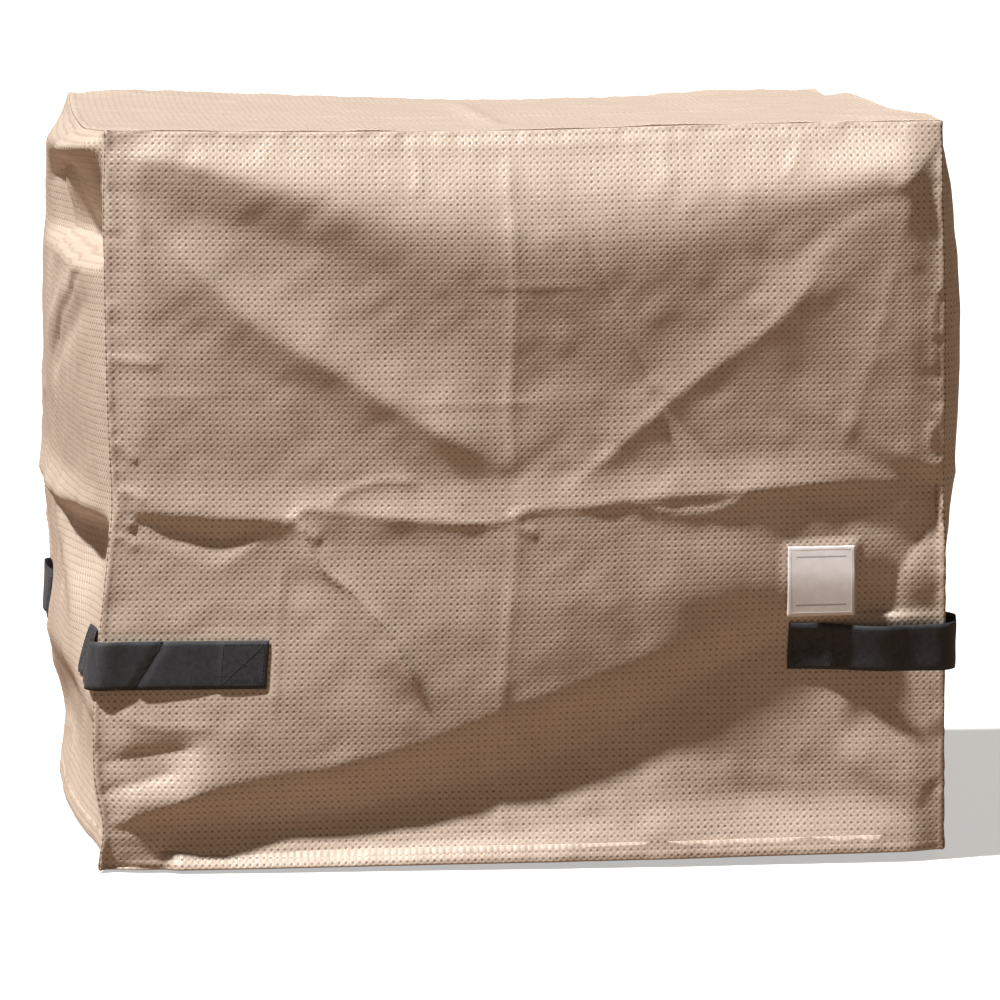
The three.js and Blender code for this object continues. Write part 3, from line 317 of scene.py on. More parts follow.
topCreases = [
    ("packing crease across", [(-428, 432), (-200, 436), (0, 431), (200, 434), (428, 430)],
     1.6, 7, 7, 0.9),
    ("packing crease along", [(-2, 6), (2, 220), (-3, 440), (2, 640), (0, 858)], 1.6, 7, 7, 0.9),
    ("drag from the front left corner", [(-424, 12), (-330, 110), (-210, 180)], 1.8, 12, 10, 2.0),
    ("drag from the front right corner", [(424, 12), (320, 100), (220, 190)], 1.8, 10, 12, 2.0),
    ("drag from the back left corner", [(-424, 852), (-340, 770), (-220, 700)], 1.6, 10, 12, 2.0),
    ("drag from the back right corner", [(424, 852), (350, 780), (240, 690)], 2.2, 12, 10, 2.0),
    ("small wrinkle", [(-120, 300), (-30, 330), (60, 322)], 1.2, 6, 6, 0.8),
    ("second small wrinkle", [(150, 560), (210, 610), (300, 622)], 1.2, 6, 6, 0.8),
]

# Fine shape of the cloth and its sewing
crumple = {
    "large": 0.9, "largeSize": 58, "middle": 0.45, "middleSize": 23, "dents": 1.1, "dentSize": 31,
    "dentsOver": 0.35,  # only the noise above this makes a dent
}
creaseEnds = {"rise": 0.14, "fall": 0.2, "wander": 0.25}  # shares of its length, and of its height
sewing = {
    "seamGap": 0.25, "allowance": 9, "turnWidth": 1.6, "turnDepth": 1.1,  # the edge turns in at the seam
    "welt": 0.6, "weltAt": 4.2, "weltWidth": 2.4, "pucker": 1.05, "puckerReach": 15,
    "sideFade": 10, "headFade": 12,  # creases and crumple die out this near the seams
    "pressedFade": 7,  # and come back this far round what is sewn down
}
hem = {
    "stitchedAt": 11, "stitchDepth": 0.55, "stitchReach": 2.2, "ripple": 0.45, "rippleReach": 9,
    "roll": 0.5, "rollAt": 4.5, "rollReach": 5.0, "turnedUp": 18,
    "turn": [(0.9, -0.6), (2.0, 0.2), (2.7, 2.0), (3.0, 8.0), (2.9, 18.0)],  # inward, up
}
sewnDown = {  # what lies on each wall: low and high corners
    "front_panel": [("left strap", (-424, 186), (-258, 242)), ("right strap", (268, 190), (424, 246)),
                    ("label", (264, 253), (336, 325))],
    "right_panel": [("front strap", (-424, 186), (-264, 242)), ("back strap", (264, 186), (424, 242))],
    "back_panel": [("left strap", (-424, 180), (-264, 236)), ("right strap", (264, 186), (424, 242))],
    "left_panel": [("front strap", (-424, 186), (-264, 242)), ("back strap", (264, 180), (424, 236))],
}


def smoothStep(t):
    t = np.clip(t, 0, 1)
    return t * t * (3 - 2 * t)


def through(at, to, t):
    # a smooth curve through points, which never overshoots them; at and to may differ from place to place
    t = np.asarray(t, float)
    flat = t.ravel()
    shape = (len(at), flat.size)
    at = np.broadcast_to(np.asarray(at, float).reshape(len(at), -1), shape)
    to = np.broadcast_to(np.asarray(to, float).reshape(len(to), -1), shape)
    step = np.diff(to, axis=0) / np.diff(at, axis=0)
    before, after = step[:-1], step[1:]
    rising = before * after > 0
    slope = np.zeros(shape)
    slope[1:-1] = np.where(rising, 2 * before * after / np.where(rising, before + after, 1), 0)
    flat = np.clip(flat, at[0], at[-1])
    place = np.clip((at[1:-1] <= flat).sum(axis=0), 0, len(at) - 2)[None]

    def pick(table, k):
        return np.take_along_axis(table, k, 0)[0]

    span = pick(at, place + 1) - pick(at, place)
    s = (flat - pick(at, place)) / span
    low, high = pick(to, place), pick(to, place + 1)
    enter = s * (1 - s) ** 2 * span * pick(slope, place)
    leave = s * s * (s - 1) * span * pick(slope, place + 1)
    return (low + (high - low) * smoothStep(s) + enter + leave).reshape(t.shape)


def softNoise(x, y, cell, seed):
    # smooth hills and dips, about -1 to 1, a cell apart
    rng = np.random.default_rng(seed)
    grid = rng.uniform(-1, 1, (64, 64))
    u, v = x / cell + 20.3, y / cell + 20.7
    i, j = np.floor(u).astype(int), np.floor(v).astype(int)
    su, sv = smoothStep(u - i), smoothStep(v - j)
    i, j = i % 64, j % 64
    i2, j2 = (i + 1) % 64, (j + 1) % 64
    low = grid[i, j] * (1 - su) + grid[i2, j] * su
    high = grid[i, j2] * (1 - su) + grid[i2, j2] * su
    return low * (1 - sv) + high * sv


def seamUp(name):
    # an upright seam, as a function of the share of the way up it
    seam = uprightSeams[name]
    rows = np.array(seam["rows"], float).T

    def line(v):
        x = seam["side"] * (halfWidth + through(rows[0], rows[1], v * cover["height"]))
        y = seam["face"] * (halfDepth + through(rows[0], rows[2], v * cover["height"]))
        z = seam["foot"] + (seam["head"] - seam["foot"]) * v - cover["carriedAt"]
        return np.stack([x, y, z], -1)
    return line


def cornerOf(name, v):
    return seamUp(name)(np.array(float(v)))


def seamRound(name, backwards=False):
    # a seam of the top, from its first corner to its second, or the other way
    seam = topSeams[name]
    rows = np.array(seam["rows"], float).T
    start, end = cornerOf(seam["from"], 1), cornerOf(seam["to"], 1)

    def line(t):
        t = 1 - t if backwards else t
        points = start + (end - start) * t[..., None]
        points[..., 0 if seam["axis"] == "x" else 1] += seam["sign"] * through(rows[0], rows[1], t)
        points[..., 2] += through(rows[0], rows[2], t)
        return points
    return line


def hemLine(first, second):
    start, end = cornerOf(first, 0), cornerOf(second, 0)
    return lambda t: start + (end - start) * t[..., None]


right, back, up = np.identity(3)
left, front = -right, -back


def wall(out, half, corners, ways, head, cell, seed, shapes):
    # a wall runs between two upright seams, from its start to its end as seen from outside
    start, end = corners
    return {
        "out": out, "from": -half, "to": half, "rise": cover["height"], "cell": cell, "seed": seed,
        "folds": shapes[0], "pulls": shapes[1], "creases": shapes[2],
        "foot": hemLine(start, end), "head": seamRound(head, backwards=half < 0),
        "start": seamUp(start), "end": seamUp(end),
        "beyond": {"start": ways[0], "end": ways[1], "head": up},  # the way the panel beyond each edge faces
    }


panels = {
    "front_panel": wall(front, halfWidth, ("frontLeft", "frontRight"), (left, right), "front", 4.0, 11,
                        (frontFolds, frontPulls, frontCreases)),
    "right_panel": wall(right, halfDepth, ("frontRight", "backRight"), (front, back), "right", 5.5, 12,
                        (rightFolds, rightPulls, rightCreases)),
    "back_panel": wall(back, -halfWidth, ("backRight", "backLeft"), (right, left), "back", 5.5, 13,
                       (backFolds, backPulls, backCreases)),
    "left_panel": wall(left, -halfDepth, ("backLeft", "frontLeft"), (back, front), "left", 4.6, 14,
                       (leftFolds, leftPulls, leftCreases)),
    "top_panel": {
        "out": up, "from": -halfWidth, "to": halfWidth, "rise": cover["depth"], "cell": 5.5, "seed": 15,
        "folds": topFolds, "pulls": topPulls, "creases": topCreases,
        "foot": seamRound("front"), "head": seamRound("back"),
        "start": seamRound("left"), "end": seamRound("right"),
        "beyond": {"start": left, "end": right, "head": back, "foot": front},
    },
}


def foldsOut(panel, x, h):
    # how far the fold lines and the pulls stand the cloth out
    folds, rise = panel["folds"], panel["rise"]
    half = abs(panel["to"])
    ends = [-half, *folds["stations"], half]
    nothing = np.zeros(x.size)
    flatX = x.ravel()
    lines = [] if folds["rows"][0][1] == 0 else [(nothing, nothing)]
    for name, at, out in folds["rows"]:
        at = at if isinstance(at, list) else [at] * len(out)
        lines.append((through(ends, [at[0], *at, at[-1]], flatX), through(ends, [0, *out, 0], flatX)))
    lines.append((nothing + rise, nothing))
    total = through(np.array([line[0] for line in lines]), np.array([line[1] for line in lines]), h.ravel())
    total = total.reshape(x.shape)
    fade = smoothStep(np.minimum(half - abs(x), rise - h) / cover["pullFade"])
    for name, start, end, reach, out in panel["pulls"]:
        runX, runH = end[0] - start[0], end[1] - start[1]
        length = math.hypot(runX, runH)
        along = ((x - start[0]) * runX + (h - start[1]) * runH) / length ** 2
        aside = ((x - start[0]) * runH - (h - start[1]) * runX) / length
        held = smoothStep((along + 0.1) / 0.3) * (1 - smoothStep((along - 0.75) / 0.35))
        total = total + fade * out * held * np.exp(-((aside / reach) ** 2))
    return total


def smoothLine(points, steps=5):
    # a smooth line through a few points
    points = np.array(points, float)
    if len(points) < 3:
        return points
    padded = np.vstack([2 * points[0] - points[1], points, 2 * points[-1] - points[-2]])
    found = []
    for a, b, c, d in zip(padded, padded[1:], padded[2:], padded[3:]):
        for t in np.arange(steps) / steps:
            found.append(0.5 * (2 * b + (c - a) * t + (2 * a - 5 * b + 4 * c - d) * t ** 2
                                + (3 * b - a - 3 * c + d) * t ** 3))
    return np.vstack([found, points[-1]])


def creaseOut(crease, x, h):
    # one crease: a line, how far out, its reach to the left and the right of it, how round its top is
    name, points, out, leftReach, rightReach, soft = crease
    line = smoothLine(points)
    runs = np.diff(line, axis=0)
    lengths = np.hypot(*runs.T)
    before = np.concatenate([[0], np.cumsum(lengths)])
    reach = 4 * max(leftReach, rightReach) + soft
    near = ((x > line[:, 0].min() - reach) & (x < line[:, 0].max() + reach)
            & (h > line[:, 1].min() - reach) & (h < line[:, 1].max() + reach))
    total = np.zeros(x.shape)
    if not near.any():
        return total
    px, ph = x[near], h[near]
    best = np.full(px.shape, 1e9)
    side = np.zeros(px.shape)
    along = np.zeros(px.shape)
    for k, run in enumerate(runs):
        dx, dh = px - line[k][0], ph - line[k][1]
        t = np.clip((dx * run[0] + dh * run[1]) / lengths[k] ** 2, 0, 1)
        gone = np.hypot(dx - t * run[0], dh - t * run[1])
        closer = gone < best
        best = np.where(closer, gone, best)
        side = np.where(closer, run[0] * dh - run[1] * dx, side)
        along = np.where(closer, before[k] + t * lengths[k], along)
    share = along / before[-1]
    width = np.where(side > 0, leftReach, rightReach)
    away = np.sqrt(best ** 2 + soft ** 2) - soft
    wander = 1 + creaseEnds["wander"] * np.sin(along / 17 + 3 * out) * np.sin(along / 41 + 1.7)
    ends = smoothStep(share / creaseEnds["rise"]) * smoothStep((1 - share) / creaseEnds["fall"])
    total[near] = out * wander * np.exp(-away / width) * ends
    return total


def pressed(panelName, x, h):
    # 1 where something is sewn down on the cloth, which lies flat there
    mask = np.zeros(x.shape)
    for name, low, high in sewnDown.get(panelName, []):
        inside = np.minimum(np.minimum(x - low[0], high[0] - x), np.minimum(h - low[1], high[1] - h))
        mask = np.maximum(mask, smoothStep((inside + sewing["pressedFade"]) / sewing["pressedFade"]))
    return mask


def detailsOut(panelName, x, h):
    # creases, crumple, the draw of the seams and the hem's stitching
    panel = panels[panelName]
    half, rise = abs(panel["to"]), panel["rise"]
    seed = panel["seed"]
    total = np.zeros(x.shape)
    for crease in panel["creases"]:
        total += creaseOut(crease, x, h)
    total += crumple["large"] * softNoise(x, h, crumple["largeSize"], seed)
    middle = softNoise(x * 0.8 + h * 0.6, h * 0.8 - x * 0.6, crumple["middleSize"], seed + 20)
    dents = softNoise(x * 0.6 - h * 0.8, h * 0.6 + x * 0.8, crumple["dentSize"], seed + 40)
    total += crumple["middle"] * middle
    total += crumple["dents"] * np.clip(abs(dents) - crumple["dentsOver"], 0, 1)
    total *= smoothStep((half - abs(x)) / sewing["sideFade"]) * smoothStep((rise - h) / sewing["headFade"])
    for edge, gap, along in (("side", half - abs(x), h + 3000 * (x > 0)), ("head", rise - h, x + 7000),
                             ("foot", h, x + 11000)):
        if edge == "foot" and "foot" not in panel["beyond"]:
            continue
        draw = softNoise(along, gap * 0.4, 9, seed + 60) + 0.6 * softNoise(along, gap * 0.3, 21, seed + 70)
        total += sewing["pucker"] * draw * smoothStep(gap / 3) * np.exp(-gap / sewing["puckerReach"])
    if "foot" not in panel["beyond"]:
        ripple, overStitch = softNoise(x, h * 0.3, 12, seed + 80), h - hem["stitchedAt"]
        total += hem["ripple"] * ripple * np.exp(-(overStitch / hem["rippleReach"]) ** 2)
        total -= hem["stitchDepth"] * np.exp(-(overStitch / hem["stitchReach"]) ** 2)
        total += hem["roll"] * np.exp(-((h - hem["rollAt"]) / hem["rollReach"]) ** 2)
    return total * (1 - 0.85 * pressed(panelName, x, h))


def panelPoints(panelName, x, h, detailed=True):
    # places on a panel's outer face: a patch stretched between its four edges, and pushed out
    panel = panels[panelName]
    u = (x - panel["from"]) / (panel["to"] - panel["from"])
    v = h / panel["rise"]
    ends = np.array([0.0, 1.0])
    foot, head = panel["foot"](ends), panel["head"](ends)
    su, sv = u[..., None], v[..., None]
    points = (1 - sv) * panel["foot"](u) + sv * panel["head"](u)
    points += (1 - su) * panel["start"](v) + su * panel["end"](v)
    points -= (1 - su) * (1 - sv) * foot[0] + su * (1 - sv) * foot[1]
    points -= (1 - su) * sv * head[0] + su * sv * head[1]
    stand = foldsOut(panel, x, h)
    if detailed:
        stand = stand + detailsOut(panelName, x, h)
    return points + stand[..., None] * panel["out"]


def unit(vectors):
    return vectors / np.maximum(np.linalg.norm(vectors, axis=-1, keepdims=True), 1e-9)


def panelNormals(panelName, x, h, detailed=False, step=3.0):
    panel = panels[panelName]
    sign = 1 if panel["to"] > panel["from"] else -1
    half, rise = abs(panel["to"]), panel["rise"]
    lowX, highX = np.maximum(x - step, -half), np.minimum(x + step, half)
    lowH, highH = np.maximum(h - step, 0), np.minimum(h + step, rise)
    across = panelPoints(panelName, highX, h, detailed) - panelPoints(panelName, lowX, h, detailed)
    rising = panelPoints(panelName, x, highH, detailed) - panelPoints(panelName, x, lowH, detailed)
    return unit(np.cross(across * sign, rising))


def gridNormals(grid):
    across = np.gradient(grid, axis=1)
    rising = np.gradient(grid, axis=0)
    return unit(np.cross(across, rising))


def spacing(length, cell, sewnLow, sewnHigh):
    # places from 0 to length: close together at a sewn edge, then a cell apart
    nearEdge = [0, 0.7, 1.6, 2.8, 4.2, 6.0, 8.2]
    low = nearEdge if sewnLow else [0, 1.2, 2.6, 4.2, 6.0, 8.2]
    high = nearEdge if sewnHigh else low
    count = round((length - low[-1] - high[-1]) / cell)
    middle = np.linspace(low[-1], length - high[-1], count + 1)[1:-1]
    return np.concatenate([low, middle, length - np.array(high[::-1])])


def meshFrom(name, points, faces, clothPlace):
    # each point keeps its place on its own cloth, webbing or thread, which the materials read
    mesh = bpy.data.meshes.new(name)
    mesh.from_pydata((np.asarray(points) / metre).tolist(), [], faces)
    attribute = mesh.attributes.new("clothPlace", "FLOAT_VECTOR", "POINT")
    attribute.data.foreach_set("vector", np.asarray(clothPlace, np.float32).ravel())
    mesh.polygons.foreach_set("use_smooth", [True] * len(mesh.polygons))
    mesh.update()
    piece = bpy.data.objects.new(name, mesh)
    bpy.context.scene.collection.objects.link(piece)
    return piece


def gridFaces(rows, columns):
    r, c = np.meshgrid(np.arange(rows - 1), np.arange(columns - 1), indexing="ij")
    a = (r * columns + c).ravel()
    return np.stack([a, a + 1, a + columns + 1, a + columns], 1).tolist()


def beyondWay(panel, edge):
    return unit(-(panel["out"] + panel["beyond"][edge]))


def makePanel(panelName):
    panel = panels[panelName]
    width, rise = abs(panel["to"] - panel["from"]), panel["rise"]
    sign = 1 if panel["to"] > panel["from"] else -1
    sewn = panel["beyond"]
    acrossAt = spacing(width, panel["cell"], "start" in sewn, "end" in sewn)
    upAt = spacing(rise, panel["cell"], "foot" in sewn, "head" in sewn)
    s, h = np.meshgrid(acrossAt, upAt)
    x = panel["from"] + sign * s
    grid = panelPoints(panelName, x, h)
    place = np.stack([x, h, np.zeros(x.shape)], -1)

    # the edges turn in at their seams, with a low welt beside them
    gaps = {"start": s, "end": width - s, "head": rise - h, "foot": h}
    welt = np.zeros(x.shape)
    for edge in sewn:
        gap = gaps[edge]
        fromWelt = (gap - sewing["weltAt"]) / sewing["weltWidth"]
        welt = np.maximum(welt, sewing["welt"] * np.exp(-(fromWelt ** 2)))
        turn = np.clip(1 - gap / sewing["turnWidth"], 0, 1) ** 2 * sewing["turnDepth"]
        grid = grid + turn[..., None] * beyondWay(panel, edge)
    grid = grid + welt[..., None] * panel["out"]

    # the allowances run on inside along the seams: first is the row at the edge, share its depth
    def addAllowance(edge, grid, place, first, share, step):
        line, second = grid[first].copy(), (3 if first == 0 else -4)
        grid[first] = line + sewing["seamGap"] * unit(grid[second] - line)
        depth = sewing["allowance"] * share[:, None]
        own = unit(grid[second] - grid[first])
        extra = grid[first] + depth * beyondWay(panel, edge) + own * (0.3 + 0.06 * depth)
        extraPlace = place[first] + np.array(step)
        if first == 0:
            return np.concatenate([extra[None], grid]), np.concatenate([extraPlace[None], place])
        return np.concatenate([grid, extra[None]]), np.concatenate([place, extraPlace[None]])

    hemFree = smoothStep((upAt - hem["turnedUp"] - 4) / 20) if "foot" not in sewn else np.ones(len(upAt))
    grid, place = grid.swapaxes(0, 1).copy(), place.swapaxes(0, 1)
    for edge, first, step in (("start", 0, -8), ("end", -1, 8)):
        grid, place = addAllowance(edge, grid, place, first, 0.12 + 0.88 * hemFree, [sign * step, 0, 0])
    grid, place = grid.swapaxes(0, 1).copy(), place.swapaxes(0, 1)
    for edge, first, step in (("head", -1, 8), ("foot", 0, -8)):
        if edge in sewn:
            grid, place = addAllowance(edge, grid, place, first, np.ones(grid.shape[1]), [0, step, 0])

    # the hem is turned up inside, its fold a little rounded
    if "foot" not in sewn:
        inward = -panel["out"]
        base, above = grid[0], grid[4]
        rising = unit(above - base)
        turned = []
        for depth, height in hem["turn"][::-1]:
            line = base + depth * inward + height * rising
            ends = np.minimum(np.arange(line.shape[0]), np.arange(line.shape[0])[::-1])
            shrink = np.clip(1 - ends / 6, 0, 1)[:, None] * depth
            middle = line.mean(axis=0)
            turned.append(line + shrink * unit(middle - line) * (1 - abs(panel["out"])))
        turned = np.array(turned)
        below = 3.0 * np.arange(len(turned), 0, -1)
        turnedPlace = place[0][None] - below[:, None, None] * np.array([0, 1, 0])
        grid, place = np.concatenate([turned, grid], 0), np.concatenate([turnedPlace, place], 0)

    rows, columns = grid.shape[:2]
    faces = gridFaces(rows, columns)
    piece = meshFrom(panelName + "_cloth", grid.reshape(-1, 3), faces, place.reshape(-1, 3))
    thicken = piece.modifiers.new("cloth thickness", "SOLIDIFY")
    thicken.thickness = cover["clothThickness"] / metre
    thicken.offset = -1
    piece.data.materials.append(clothMaterial)
    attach(piece, "root")
    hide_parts(panelName)
    return piece


# Shader helpers. An input of a node is a value or another node's socket.
def newMaterial(name):
    material = bpy.data.materials.new(name)
    material.use_nodes = True
    tree = material.node_tree
    return material, tree, tree.nodes["Principled BSDF"]


def newGroup(name, inputs, outputs):
    group = bpy.data.node_groups.new(name, "ShaderNodeTree")
    for label, kind, value in inputs:
        socket = group.interface.new_socket(name=label, in_out="INPUT", socket_type=kind)
        if value is not None:
            socket.default_value = value
    for label, kind in outputs:
        group.interface.new_socket(name=label, in_out="OUTPUT", socket_type=kind)
    return group, group.nodes.new("NodeGroupInput").outputs, group.nodes.new("NodeGroupOutput")


def feed(tree, node, inputs):
    for key, value in inputs.items():
        if isinstance(value, bpy.types.NodeSocket):
            tree.links.new(value, node.inputs[key])
        else:
            node.inputs[key].default_value = value
    return node


def place(tree, kind, inputs, **settings):
    node = tree.nodes.new(kind)
    for key, value in settings.items():
        setattr(node, key, value)
    return feed(tree, node, inputs)


def combine(tree, operation, first, second=0.0, third=0.0):
    return place(tree, "ShaderNodeMath", {0: first, 1: second, 2: third}, operation=operation).outputs[0]


def vectorMath(tree, operation, inputs):
    return place(tree, "ShaderNodeVectorMath", inputs, operation=operation).outputs


def shift(tree, vector, offset, scale=(1, 1, 1)):
    return vectorMath(tree, "MULTIPLY_ADD", {0: vector, 1: scale, 2: offset})[0]


def blendColours(tree, factor, first, second):
    return place(tree, "ShaderNodeMix", {0: factor, 6: first, 7: second}, data_type="RGBA").outputs[2]


def useGroup(tree, group, inputs):
    return place(tree, "ShaderNodeGroup", inputs, node_tree=group).outputs


def noise(tree, where, scale, detail, rough=0.5):
    return place(tree, "ShaderNodeTexNoise", {"Vector": where, "Scale": scale, "Detail": detail,
                                              "Roughness": rough}).outputs


def remap(tree, value, toLow, toHigh, fromLow=0.0, fromHigh=1.0, **settings):
    # one span of values laid over another
    return place(tree, "ShaderNodeMapRange", {"Value": value, "From Min": fromLow, "From Max": fromHigh,
                                              "To Min": toLow, "To Max": toHigh}, **settings).outputs[0]


def makeMottle():
    # soft patches of two tones, as sun and dust leave them
    group, given, result = newGroup("mottle", [
        ("Place", "NodeSocketVector", None), ("Patch Size", "NodeSocketFloat", 60.0),
        ("Tone", "NodeSocketColor", None), ("Other Tone", "NodeSocketColor", None),
    ], [("Color", "NodeSocketColor"), ("Mask", "NodeSocketFloat")])
    perPatch = combine(group, "DIVIDE", 1.0, given["Patch Size"])
    mask = remap(group, noise(group, given["Place"], perPatch, 5.0, 0.62)[0], 0.0, 1.0, 0.32, 0.68)
    colour = blendColours(group, mask, given["Tone"], given["Other Tone"])
    feed(group, result, {"Color": colour, "Mask": mask})
    return group


def makeLattice():
    # small pits in a staggered lattice, each with a raised lip under it
    group, given, result = newGroup("pitLattice", [
        ("Place", "NodeSocketVector", None), ("Pitch", "NodeSocketFloat", 7.0),
        ("Pit Size", "NodeSocketFloat", 0.2), ("Wander", "NodeSocketFloat", 0.05),
    ], [("Pit", "NodeSocketFloat"), ("Lip", "NodeSocketFloat"), ("Strength", "NodeSocketFloat")])
    slow = noise(group, given["Place"], 0.11, 1.0)[1]
    drift = vectorMath(group, "SUBTRACT", {0: slow, 1: (0.5, 0.5, 0.5)})
    drift = vectorMath(group, "SCALE", {0: drift[0], 3: given["Wander"]})
    perPitch = combine(group, "DIVIDE", 1.0, given["Pitch"])
    cells = vectorMath(group, "SCALE", {0: given["Place"], 3: perPitch})
    cells = vectorMath(group, "ADD", {0: cells[0], 1: drift[0]})
    strength = remap(group, noise(group, given["Place"], 0.05, 3.0)[0], 0.55, 1.0, 0.3, 0.7)

    def spots(lower, squash):
        total = None
        for stagger, share in ((0.0, 1.0), (0.5, 0.36)):
            moved = shift(group, cells[0], (stagger, stagger + lower, 0.0))
            part = vectorMath(group, "FRACTION", {0: moved})
            centred = shift(group, part[0], (-0.5, -0.5 * squash, 0.0), (1.0, squash, 0.0))
            far = vectorMath(group, "LENGTH", {0: centred})[1]
            spot = remap(group, far, 0.0, share, given["Pit Size"], 0.06, interpolation_type="SMOOTHSTEP")
            total = spot if total is None else combine(group, "ADD", total, spot)
        return combine(group, "MULTIPLY", total, strength)

    feed(group, result, {"Pit": spots(0.0, 1.05), "Lip": spots(0.42, 1.0), "Strength": strength})
    return group


def makeWeave():
    # threads over and under each other, a slant turning the ribs
    group, given, result = newGroup("threadWeave", [
        ("Place", "NodeSocketVector", None), ("Rib", "NodeSocketFloat", 2.0),
        ("Thread", "NodeSocketFloat", 1.0), ("Slant", "NodeSocketFloat", 0.0),
    ], [("Height", "NodeSocketFloat")])
    across, along = place(group, "ShaderNodeSeparateXYZ", {0: given["Place"]}).outputs[:2]
    slanted = combine(group, "MULTIPLY_ADD", along, given["Slant"], across)

    def waves(way, size):
        turns = combine(group, "DIVIDE", 2 * math.pi, size)
        return combine(group, "SINE", combine(group, "MULTIPLY", way, turns))

    ribs = waves(slanted, given["Rib"])
    crossed = combine(group, "MULTIPLY", ribs, waves(along, given["Thread"]))
    ribbed = combine(group, "MULTIPLY_ADD", ribs, 0.22, 0.5)
    feed(group, result, {"Height": combine(group, "MULTIPLY_ADD", crossed, 0.3, ribbed)})
    return group


mottle, pitLattice, threadWeave = makeMottle(), makeLattice(), makeWeave()


def startMaterial(name, look):
    # every material is mottled, by the place on its own cloth, webbing or thread
    material, tree, principled = newMaterial(name)
    where = place(tree, "ShaderNodeAttribute", {}, attribute_name="clothPlace").outputs["Vector"]
    tone = useGroup(tree, mottle, {"Place": where, "Patch Size": look["patch"], "Tone": look["tone"],
                                   "Other Tone": look["otherTone"]})
    weave = useGroup(tree, threadWeave, {"Place": where, "Rib": look["rib"], "Thread": look["thread"],
                                         "Slant": look["slant"]})
    return material, tree, principled, where, tone, weave["Height"]


def finishMaterial(tree, principled, look, colour, roughBy, height):
    tree.links.new(colour, principled.inputs["Base Color"])
    tree.links.new(remap(tree, roughBy, *look["rough"]), principled.inputs["Roughness"])
    bump = place(tree, "ShaderNodeBump", {"Height": height, "Strength": 1.0,
                                          "Distance": look["relief"] / metre})
    tree.links.new(bump.outputs[0], principled.inputs["Normal"])


clothLook = {
    "tone": (0.70, 0.575, 0.475, 1), "otherTone": (0.61, 0.49, 0.395, 1), "patch": 90.0,
    # the dark tone is painted shade in each pit and also colours the flecks; the light tone is a painted
    # highlight on the lip under each pit
    "pitShadeAndFleckTone": (0.16, 0.10, 0.07, 1), "lipHighlightTone": (0.90, 0.80, 0.71, 1), "pitShadeShare": 0.85, "lipHighlightShare": 0.4,
    "pitch": 6.9, "pitSize": 0.33, "pitDepth": 0.42, "lipRise": 0.12,
    "fleck": 0.22, "fleckRise": 0.35, "weaveRise": 0.05,
    "rib": 1.7, "thread": 1.7, "slant": 0.0, "rough": (0.38, 0.5), "relief": 1.0, "gloss": 0.8,
}


def makeClothMaterial():
    material, tree, principled, where, tone, weave = startMaterial("tan laminated cloth", clothLook)
    lattice = useGroup(tree, pitLattice, {"Place": where, "Pitch": clothLook["pitch"],
                                          "Pit Size": clothLook["pitSize"]})
    # painted shade darkens each pit and a painted highlight lightens the lip under it, on top of their real
    # bumps
    pitShadeShare = combine(tree, "MULTIPLY", lattice["Pit"], clothLook["pitShadeShare"])
    lipHighlightShare = combine(tree, "MULTIPLY", lattice["Lip"], clothLook["lipHighlightShare"])
    colour = blendColours(tree, lipHighlightShare, tone["Color"], clothLook["lipHighlightTone"])
    colour = blendColours(tree, pitShadeShare, colour, clothLook["pitShadeAndFleckTone"])
    fleck = noise(tree, where, 0.35, 4.0)[0]
    colour = blendColours(tree, remap(tree, fleck, 0.0, clothLook["fleck"], 0.35, 0.75), colour,
                          clothLook["pitShadeAndFleckTone"])
    pits = combine(tree, "MULTIPLY", lattice["Pit"], -clothLook["pitDepth"])
    height = combine(tree, "MULTIPLY_ADD", lattice["Lip"], clothLook["lipRise"], pits)
    height = combine(tree, "MULTIPLY_ADD", weave, clothLook["weaveRise"], height)
    height = combine(tree, "MULTIPLY_ADD", fleck, clothLook["fleckRise"], height)
    principled.inputs["Specular IOR Level"].default_value = clothLook["gloss"]
    finishMaterial(tree, principled, clothLook, colour, tone["Mask"], height)
    return material


webbingLook = {
    # the other tone also lightens the raised ribs: partly wear, partly a painted sheen
    "tone": (0.007, 0.007, 0.008, 1), "otherTone": (0.040, 0.043, 0.055, 1), "patch": 5.0, "wornAndSheenRibs": 0.35,
    "rib": 2.4, "thread": 1.9, "slant": 0.5, "rough": (0.5, 0.68), "relief": 0.45, "sheen": 0.08,
}


def makeWebbingMaterial():
    material, tree, principled, where, tone, weave = startMaterial("charcoal webbing", webbingLook)
    # the raised ribs are lighter and bluer: partly wear, partly a painted sheen
    wornAndSheen = remap(tree, weave, 0.0, webbingLook["wornAndSheenRibs"], 0.3, 1.0)
    colour = blendColours(tree, wornAndSheen, tone["Color"], webbingLook["otherTone"])
    principled.inputs["Sheen Weight"].default_value = webbingLook["sheen"]
    finishMaterial(tree, principled, webbingLook, colour, tone["Mask"], weave)
    return material


labelLook = {
    "tone": (0.95, 0.92, 0.92, 1), "otherTone": (0.84, 0.80, 0.82, 1), "patch": 14.0,
    "line": (0.42, 0.41, 0.43, 1), "lineAt": 24.0, "lineWidth": 0.8, "lineReach": 26.0,
    "rib": 1.1, "thread": 1.1, "slant": 1.0, "rough": (0.42, 0.6), "relief": 0.12, "sheen": 0.35,
}


